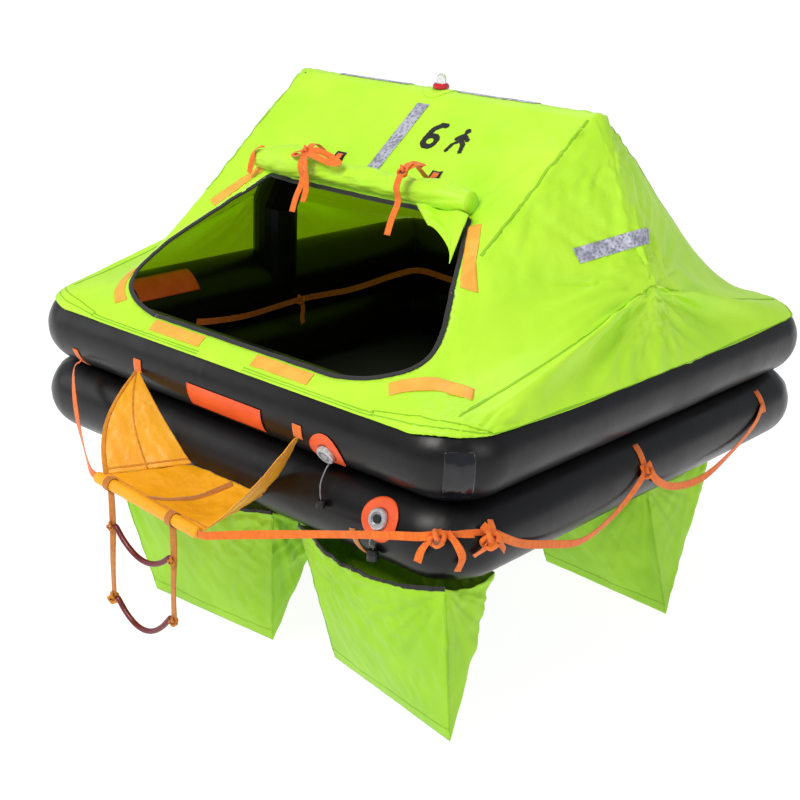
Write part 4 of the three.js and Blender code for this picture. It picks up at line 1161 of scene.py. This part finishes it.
# The rolled-up door, its hanging corner and its two ties
def roll_surface():
    fullness = [
        (0, 0.62), (1, 1.0), (2, 1.18), (3, 0.95), (4, 0.8), (5, 0.85), (6, 0.8), (7, 0.9), (8, 1.0),
        (9, 0.72),
    ]

    def place(u, v):
        x = blend(-462, 482, v)
        r = 46 * along(fullness, v * 9)
        for tie in (-164, 255):
            r *= 1 - 0.16 * math.exp(-(((x - tie) / 26) ** 2))
        angle = 2 * math.pi * u
        lift = 4.3 + r * 0.95
        return on_slope(x, 738 + r * math.cos(angle), lift + r * math.sin(angle))

    bm = capped(closed(laid(56, 150, place, (300, 944))))

    def crinkles(p):
        x, s, off = slope_coordinates(p)
        twist = x / 260 + math.atan2(off - 46, s - 738)
        deep = 5 * noise.noise(vec(x / 60, math.cos(twist) * 1.6, math.sin(twist) * 1.6))
        deep += 3 * (ridged(vec(x / 120, math.cos(twist) * 3, math.sin(twist) * 3)) - 0.5)
        return (deep - 1.5) * clamp(off / 30) * clamp((x + 470) / 40) * clamp((490 - x) / 30)

    pressed(bm, crinkles)
    return bm


roll = finished("rolled_door", roll_surface(), canopy_nylon, replaces=("door_roll",))


def flap_place(u, v):
    top = vec(blend(285, 497, u), 698, 0)
    tip = vec(541, 520, 0)
    p = top.lerp(tip, v * (0.35 + 0.65 * smooth(u)) if u < 1 else v)
    return on_slope(
        p.x, p.y,
        30 - 14 * v + 7 * math.sin(3 * math.pi * u) * (1 - 0.5 * v) + 5 * noise.noise(vec(u * 4, v * 4, 0)),
    )


flap_bm = laid(30, 30, flap_place, (215, 180))
bmesh.ops.remove_doubles(flap_bm, verts=flap_bm.verts, dist=0.3)
flap_area = sum(face.calc_area() for face in flap_bm.faces) * 1e-6
flap = finished("door_flap", flap_bm, canopy_nylon, thickness=2.0)


def knot(name, at, size, finish, seed=0.0, body=RAFT):
    """A strap tied over itself, drawn up small and lumpy."""
    at = Vector(at)
    points = []
    for i in range(25):
        a = 4 * math.pi * i / 24
        r = 1 + 0.42 * math.cos(1.5 * a)
        points.append(
            at + vec(r * math.cos(a) * 0.42, 0.42 * math.sin(1.5 * a), r * math.sin(a) * 0.5) * size
        )
    bm, _ = pipe(points, size * 0.2, sides=10, count=90, lumps=0.25)
    return finished(name, bm, finish, body)


for side, x in (("left", -164), ("right", 255)):
    outer = 122.1
    route = [
        (x, 802, 4.9), (x, 804, 17), (x, 782, outer - 12), (x, 738, outer + 2), (x, 686, outer - 16),
        (x, 664, outer - 60), (x, 608, outer - 86), (x, 568, outer - 110),
    ]
    points = [on_slope(*p) for p in route]
    band, path = strap(points, 25, facing=SLOPE_OUT, count=90)
    tie = finished("door_band_" + side, band, orange_web, replaces=("door_tie_" + side,))
    route_length(path) * MM
    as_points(metres(path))
bow_lines = {
    "left_loop": [
        (-164, 738, 124), (-120, 744, 127), (-60, 738, 118), (-16, 724, 108), (-50, 714, 116),
        (-110, 720, 125), (-160, 728, 124),
    ],
    "left_loop_back": [
        (-164, 738, 124), (-190, 734, 122), (-222, 722, 112), (-195, 716, 116), (-160, 728, 124),
    ],
    "right_loop": [(255, 738, 124), (268, 780, 112), (262, 806, 76), (246, 790, 100), (250, 745, 122)],
    "left_tail": [(-164, 730, 124), (-140, 690, 112), (-128, 640, 60), (-126, 600, 34)],
    "end_tail": [(-440, 770, 60), (-448, 735, 70), (-440, 690, 50), (-446, 668, 30)],
}
for name, route in bow_lines.items():
    points = [on_slope(*p) for p in route]
    bm, _ = strap(points, 20, facing=SLOPE_OUT, count=60, twist=lambda v: 0.5 * math.sin(6 * v))
    finished("bow_" + name, bm, orange_web)
for name, x in (("left", -164), ("right", 255)):
    knot("bow_knot_" + name, on_slope(x, 734, 124), 24, orange_web)
for name, x in (("left", -164), ("right", 255)):
    bm, _ = strap(
        [on_slope(x, 846, 6.5), on_slope(x, 820, 6.8), on_slope(x, 800, 7.5)], 24, facing=SLOPE_OUT,
        count=12,
    )
    finished("tie_root_" + name, bm, orange_web)

# Grab lines
LINES = {
    "grab_line_left": [
        (-706, -987.6, 289), (-690, -1030, 262), (-590, -1098, 180), (-440, -1180, 112), (-330, -1238, 82),
        (-285, -1254.5, 77), (-264, -1255, 75.1),
    ],
    "grab_line_front": [
        (214, -1255, 47), (238, -1254, 47), (350, -1204, 72), (560, -1122, 120), (760, -1056, 165),
        (860, -1014, 182), (892.4, -969.3, 188.9),
    ],
    "grab_line_right_front": [
        (951.8, -906.3, 189.2), (978.7, -858.3, 182.6), (996, -820, 160), (998, -740, 118), (998, -616, 75),
        (998, -434, 26), (998, -260, 62), (1000, -128, 142), (987, -112, 176),
    ],
    "grab_line_right_back": [
        (987.5, -86, 176), (998, -40, 110), (998, 80, 50), (998, 263, 26), (998, 440, 66), (998, 590, 130),
        (984, 668, 180),
    ],
    "grab_line_left_side": [
        (-985, 690, 180), (-998, 600, 130), (-998, 420, 70), (-998, 150, 30), (-998, -120, 40),
        (-998, -420, 70), (-998, -700, 130), (-985, -800, 180),
    ],
    "grab_line_back": [
        (-760, 1009, 180), (-680, 1022, 140), (-440, 1024, 80), (-120, 1024, 40), (180, 1024, 44),
        (460, 1024, 90), (690, 1022, 140), (760, 1009, 180),
    ],
    "interior_line": [
        (-751.6, -440, 306), (-738, -380, 300), (-736, -200, 288), (-735, 80, 300), (-735, 380, 290),
        (-733, 640, 306), (-700, 752, 312), (-560, 762, 306), (-250, 762, 286), (50, 762, 300),
        (350, 762, 286), (600, 764, 300), (655, 776.6, 306),
    ],
}
for name, points in LINES.items():
    bm, path = strap(points, 25, count=140, twist=lambda v: 0.22 * math.sin(9 * v + len(name)))
    line = finished(name + "_webbing", bm, orange_web, replaces=(name,))
    route_length(path) * MM
    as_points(metres(path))


def web_tab(name, target, centre, up, out, long=70, wide=27):
    draped(
        name, target, (Vector(centre), up.cross(out).normalized(), up, out), bar_grid(wide, long), (6, 12),
        (wide, long), orange_web, lift=2.4, thick=2.0,
    )


web_tab("side_tab", lower_bvh, (993, -100, 190), Z, X, 76, 28)
web_tab("side_tab_rear", lower_bvh, (993, 672, 190), Z, X, 70, 28)
web_tab("left_tab", upper_bvh, (-706, -1000, 300), Z, -Y, 66, 27)
web_tab("left_rear_tab", lower_bvh, (-993, 690, 190), Z, -X, 70, 28)
web_tab("left_front_tab", lower_bvh, (-993, -800, 190), Z, -X, 70, 28)
web_tab("back_left_tab", lower_bvh, (-760, 1010, 190), Z, Y, 70, 28)
web_tab("back_right_tab", lower_bvh, (760, 1010, 190), Z, Y, 70, 28)
for name, points in {
    "corner_cross_a": [(968, -890, 214), (985, -872, 188), (999, -850, 160), (1002, -826, 128)],
    "corner_cross_b": [(968, -858, 220), (992, -872, 186), (990, -898, 156), (972, -926, 132)],
    "corner_run": [(890, -971, 186), (922, -950, 190), (940, -930, 190), (953, -904, 187)],
    "corner_tail": [(905, -962, 192), (940, -962, 168), (952, -950, 128), (944, -958, 88)],
    "corner_tail_b": [(880, -990, 186), (870, -1024, 150), (862, -1032, 112)],
}.items():
    bm, _ = strap(points, 23, count=40, twist=lambda v: 0.4 * math.sin(5 * v))
    finished(name, bm, orange_web)
knot("corner_knot_front", (893, -990, 178), 34, orange_web)
knot("corner_knot_side", (992, -880, 172), 38, orange_web)
knot("side_knot", (998, -100, 150), 28, orange_web)
knot("interior_knot", (-737, 80, 298), 26, orange_web)
bm, _ = strap([(-735, 84, 296), (-733, 92, 262), (-733, 88, 226), (-735, 96, 200)], 22, facing=X, count=30)
finished("interior_tail", bm, orange_web)

# Tethers of the plug and the cap
TETHERS = {
    "relief_valve": (
        [(477, -985, 273), (478, -1002, 257), (482, -1025, 226), (485, -1030, 194), (485, -1026.9, 172.6)],
        "relief_valve_plug",
    ),
    "inflation_valve": (
        [
            (696, -1025.3, 149.2), (694, -1038, 130), (687, -1034, 104), (686, -1018.4, 92),
            (686, -1018.4, 82.3),
        ],
        "inflation_valve_cap",
    ),
}
grey_cord = speckled("grey_moulded_tether", "#8E9094", "#74767A", 0.5, 400, 0.1)
for name, (points, plug) in TETHERS.items():
    bm, path = pipe(points, 2, sides=12, count=50)
    tether = finished(name + "_leash", bm, grey_cord, replaces=(name + "_tether",))
    route_length(path) * MM
    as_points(metres(path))

# Boarding step
BAR_FROM, BAR_TO = vec(-263, -1255, 75), vec(213, -1255, 47)
BAR_AXIS = (BAR_TO - BAR_FROM).normalized()


def tube_face(z, centre_z=LOWER_Z):
    return -HALF_Y - math.sqrt(TUBE_R**2 - (z - centre_z) ** 2)


def seat_place(u, v):
    start = BAR_FROM.lerp(BAR_TO, u) + Y * 20.6
    rear = vec(blend(-101, 226, u), tube_face(99) - 0.6, 102)
    return start.lerp(rear, v) - Z * (28 * math.sin(math.pi * v) * math.sin(math.pi * u) + 3 * v)


def side_place(end):
    side = 1 if end else -1
    apex_x, apex_z = ((-362, 347), (370, 329))[end]
    apex = vec(apex_x, tube_face(apex_z, UPPER_Z) - 0.6, apex_z)

    def place(u, v):
        low = BAR_FROM.lerp(BAR_TO, end) + Y * 20.6
        low = low.lerp(vec((-101, 226)[end], tube_face(102) - 1.6, 102), u) + Z * (1.5 * (1 - u))
        high = apex - Y * (14 * (1 - u))
        belly = vec(side * 34 * (1 - 0.6 * u), -30 * (1 - u), 0) * math.sin(math.pi * v)
        return low.lerp(high, v) + belly

    return place


def step_panel(name, place, counts, size, node_name, seed):
    bm = laid(*counts, place, size)

    def folds(p):
        return (
            3.4 * noise.noise(vec(p.x / 50, p.y / 40, p.z / 70 + seed))
            + 2.2 * (ridged(vec(p.x / 90 + p.z / 60, p.y / 70, seed)) - 0.5) + 0.9 * noise.noise(p / 14)
        ) * 0.9

    pressed(bm, folds)
    area = sum(face.calc_area() for face in bm.faces) * 1e-6
    bvh = BVHTree.FromBMesh(bm)
    piece = finished(name, bm, step_cloth, replaces=(node_name,), thickness=2.4)
    return bvh


step_seat = step_panel("step_seat_cloth", seat_place, (80, 50), (470, 240), "step_seat", 1.0)
left_side = step_panel("step_side_left_cloth", side_place(0), (50, 70), (280, 330), "step_side_left", 2.0)
right_side = step_panel(
    "step_side_right_cloth", side_place(1), (50, 70), (280, 330), "step_side_right", 3.0,
)


def sleeve():
    path = [BAR_FROM.lerp(BAR_TO, i / 60) for i in range(61)]
    bm, _ = pipe(
        path, lambda t: 19.5 - 1.8 * (clamp(1 - t * 40) + clamp(1 - (1 - t) * 40)), sides=28, count=110,
    )

    def folds(p):
        return (
            0.9 * noise.noise(vec(p.x / 14, p.y / 30, p.z / 30))
            + 0.7 * noise.noise(vec(p.x / 40, 3, p.z / 20)) - 0.3
        )

    return pressed(bm, folds)


bar_sleeve = finished("bar_sleeve", sleeve(), step_cloth, replaces=("step_bar",))
step_web = webbing("step_webbing", "#E0900C", "#C87C08")
for name, bvh, points, wide, finish in (
    (
        "seat_strap", step_seat, [seat_place(0.42, 0.04), seat_place(0.5, 0.5), seat_place(0.62, 0.97)], 24,
        brown_web,
    ),
    ("seat_front_seam", step_seat, [seat_place(i / 8, 0.07) for i in range(9)], 5, step_web),
    ("side_left_edge", left_side, [side_place(0)(0.03, i / 10) for i in range(11)], 16, step_web),
    ("side_right_edge", right_side, [side_place(1)(0.03, i / 10) for i in range(11)], 16, step_web),
    ("side_left_seam", left_side, [side_place(0)(0.5, i / 10) for i in range(11)], 6, step_web),
    ("side_right_seam", right_side, [side_place(1)(0.5, i / 10) for i in range(11)], 6, step_web),
    ("side_left_hem", left_side, [side_place(0)(i / 8, 0.05) for i in range(9)], 6, step_web),
    ("side_right_hem", right_side, [side_place(1)(i / 8, 0.05) for i in range(9)], 6, step_web),
):
    stuck_strip(name, bvh, points, wide, finish, lift=1.6, thick=1.2, count=60)
web_tab("step_tab_left", upper_bvh, (-362, -1010, 362), Z, -Y, 44, 36)
web_tab("step_tab_right", upper_bvh, (370, -1006, 346), Z, -Y, 44, 36)

# Ladder: two webs that loop round the bar, two hoses between them
WEBS = {"left": (-210, -332), "right": (86, -299)}
for side, (x, bottom) in WEBS.items():
    centre = BAR_FROM.lerp(BAR_TO, (x + 263) / 476) + BAR_AXIS * 12.5
    low = vec(x + 12.5, -1255, bottom)
    loop = []
    for i in range(25):
        angle = math.radians(-112 + 344 * i / 24)
        loop.append(centre + vec(0, -math.cos(angle), math.sin(angle)) * 22.4)
    bm, _ = strap(loop, 25, facing=lambda p: (p - centre) - BAR_AXIS * (p - centre).dot(BAR_AXIS), count=70)
    top = vec(x + 12.5, -1255, centre.z - 21)
    hang, _ = strap(
        [top, top.lerp(low, 0.3) + Y * 2, top.lerp(low, 0.66) - Y * 2, low + Z * 2], 25, facing=-Y,
        thick=4.6, count=60, twist=lambda v: 0.16 * math.sin(5 * v + x),
    )
    finished(
        "ladder_strap_" + side, merged(bm, hang), brown_web, LADDER,
        replaces=("ladder_web_" + side,),
    )


def rung(name, left_z, right_z, sag):
    start, end = vec(-185, -1255, left_z), vec(86, -1255, right_z)
    points = [start + X]
    for i in range(9):
        t = i / 8
        points.append(
            vec(blend(start.x + 8, end.x - 8, t), -1255, blend(left_z, right_z, t) - sag * 4 * t * (1 - t))
        )
    bm, _ = pipe(points + [end - X], 9, sides=20, count=80)
    finished(name + "_hose", bm, hose_rubber, LADDER, replaces=(name,))


rung("rung_upper", -68, -82, 62)
rung("rung_lower", -318, -286, 76)
for name, at in (
    ("rung_knot_a", (-198, -1259, -70)), ("rung_knot_b", (99, -1259, -84)),
    ("rung_knot_d", (99, -1259, -288)),
):
    knot(name, at, 20, brown_web, body=LADDER)
knot("rung_knot_c", (-198, -1259, -320), 26, step_web, body=LADDER)

# A glossy patch at the front corner and a strap from the tube to a pocket
x, y = plan_point(TUBE_R * 0.9, 3, 45)
out = (X - Y).normalized()
patch_frame = (vec(x, y, 352), Z.cross(out), Z, out)
draped(
    "corner_patch_a", upper_bvh, patch_frame, bar_grid(86, 150), (16, 26), (86, 150), gloss_patch,
    lift=1.4, thick=1.0,
)
stuck_strip(
    "pocket_strap", lower_bvh, [(600, -1014, 118), (606, -1010, 90), (612, -990, 50), (616, -960, 28)], 24,
    brown_web, lift=1.6, thick=1.6, count=30,
)
inner_label = laid(
    40, 10, lambda u, v: onto(upper_bvh, vec(-500, blend(-694, -420, u), blend(427, 491, v)), -X, 1.4),
    (274, 64),
)
finished("inner_label", inner_label, label_vinyl, thickness=1.0)


# Plain pictograms: a walking figure and the number of people
def near_line(x, y, line, width):
    for (x0, y0), (x1, y1) in zip(line, line[1:]):
        dx, dy = x1 - x0, y1 - y0
        t = clamp(((x - x0) * dx + (y - y0) * dy) / (dx * dx + dy * dy))
        if math.hypot(x - x0 - t * dx, y - y0 - t * dy) < width:
            return True
    return False


WALKER = [
    [(0, 26), (2, 2)], [(2, 2), (-18, -22), (-26, -50)], [(2, 2), (20, -18), (26, -46)], [(0, 24), (22, 6)],
    [(0, 24), (-20, 4)],
]
SIX = [(20, 50), (2, 50), (-18, 28), (-25, -12)]


def printed(x, y):
    if math.hypot(x - 62, y - 42) < 11:
        return True
    if any(near_line(x - 60, y, line, 8) for line in WALKER):
        return True
    x += 56
    return near_line(x, y, SIX, 11) or abs(math.hypot(x, y + 22) - 24) < 11


def stencil(name, frame_at, wide, tall, cell, shape):
    origin, across, up, out = frame_at
    nx, ny = round(wide / cell), round(tall / cell)
    bm = laid(
        nx, ny,
        lambda u, v: onto(
            canopy_whole,
            origin + across * ((u - 0.5) * wide) + up * ((v - 0.5) * tall) + out * RAY_START,
            -out, 1.8,
        ),
        (wide, tall),
    )
    gone = []
    for face in bm.faces:
        centre = face.calc_center_median()
        d = centre - origin
        if not shape(d.dot(across), d.dot(up)):
            gone.append(face)
    bmesh.ops.delete(bm, geom=gone, context="FACES")
    return finished(name, bm, print_ink, thickness=0.5)


stencil("people_count", slope_frame(190, 994), 232, 122, 2.6, printed)

# Stage: pale floor, soft light from the front right and from above
def stage_plane():
    made, tree, shader = material("pale_floor", "#FFFFFF", 0.9)
    bm = bmesh.new()
    bmesh.ops.create_grid(bm, x_segments=1, y_segments=1, size=60)
    mesh = bpy.data.meshes.new("floor")
    bm.to_mesh(mesh)
    bm.free()
    mesh.materials.append(made)
    plane = bpy.data.objects.new("stage_floor", mesh)
    plane.location.z = -0.512
    bpy.context.scene.collection.objects.link(plane)
    white = node(tree, "Emission", {"Color": (1, 1, 1, 1), "Strength": 1.3})
    fade = node(tree, "MixShader", {0: 0.7, 1: shader.outputs["BSDF"], 2: white.outputs["Emission"]})
    tree.links.new(fade.outputs["Shader"], tree.nodes["Material Output"].inputs["Surface"])
    plane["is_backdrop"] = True


stage_plane()
world = bpy.data.worlds.new("studio")
bpy.context.scene.world = world
world.use_nodes = True
world_tree = world.node_tree
sky = world_tree.nodes["Background"]
sky.inputs["Color"].default_value = (0.93, 0.96, 1.0, 1)
sky.inputs["Strength"].default_value = 0.42
backdrop = node(world_tree, "Background", {"Color": (1, 1, 1, 1), "Strength": 1.0})
ray = node(world_tree, "LightPath")
seen = node(
    world_tree, "Math", {0: ray.outputs["Is Camera Ray"], 1: ray.outputs["Is Transmission Ray"]},
    operation="MAXIMUM",
)
pick = node(
    world_tree, "MixShader",
    {0: seen.outputs["Value"], 1: sky.outputs["Background"], 2: backdrop.outputs["Background"]},
)
world_tree.links.new(pick.outputs["Shader"], world_tree.nodes["World Output"].inputs["Surface"])


def soft_light(name, at, towards, size, power, tint="#FFFFFF"):
    data = bpy.data.lights.new(name, "AREA")
    data.size = size
    data.energy = power
    data.color = colour(tint)[:3]
    lamp = bpy.data.objects.new(name, data)
    lamp.location = at
    lamp.rotation_euler = (Vector(towards) - Vector(at)).to_track_quat("-Z", "Y").to_euler()
    bpy.context.scene.collection.objects.link(lamp)


soft_light("key", (0.4, -4.6, 4.4), (0, 0, 0.5), 2.0, 200, "#FFFCF6")
soft_light("side", (5.0, -1.0, 2.6), (0, 0, 0.4), 1.6, 34)
soft_light("top", (-0.6, 1.6, 4.6), (0, 0, 0.5), 2.4, 52)
soft_light("left", (-4.5, -3.5, 2.0), (0, 0, 0.4), 2.5, 30)
bpy.context.scene.view_settings.view_transform = "Standard"

low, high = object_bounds()
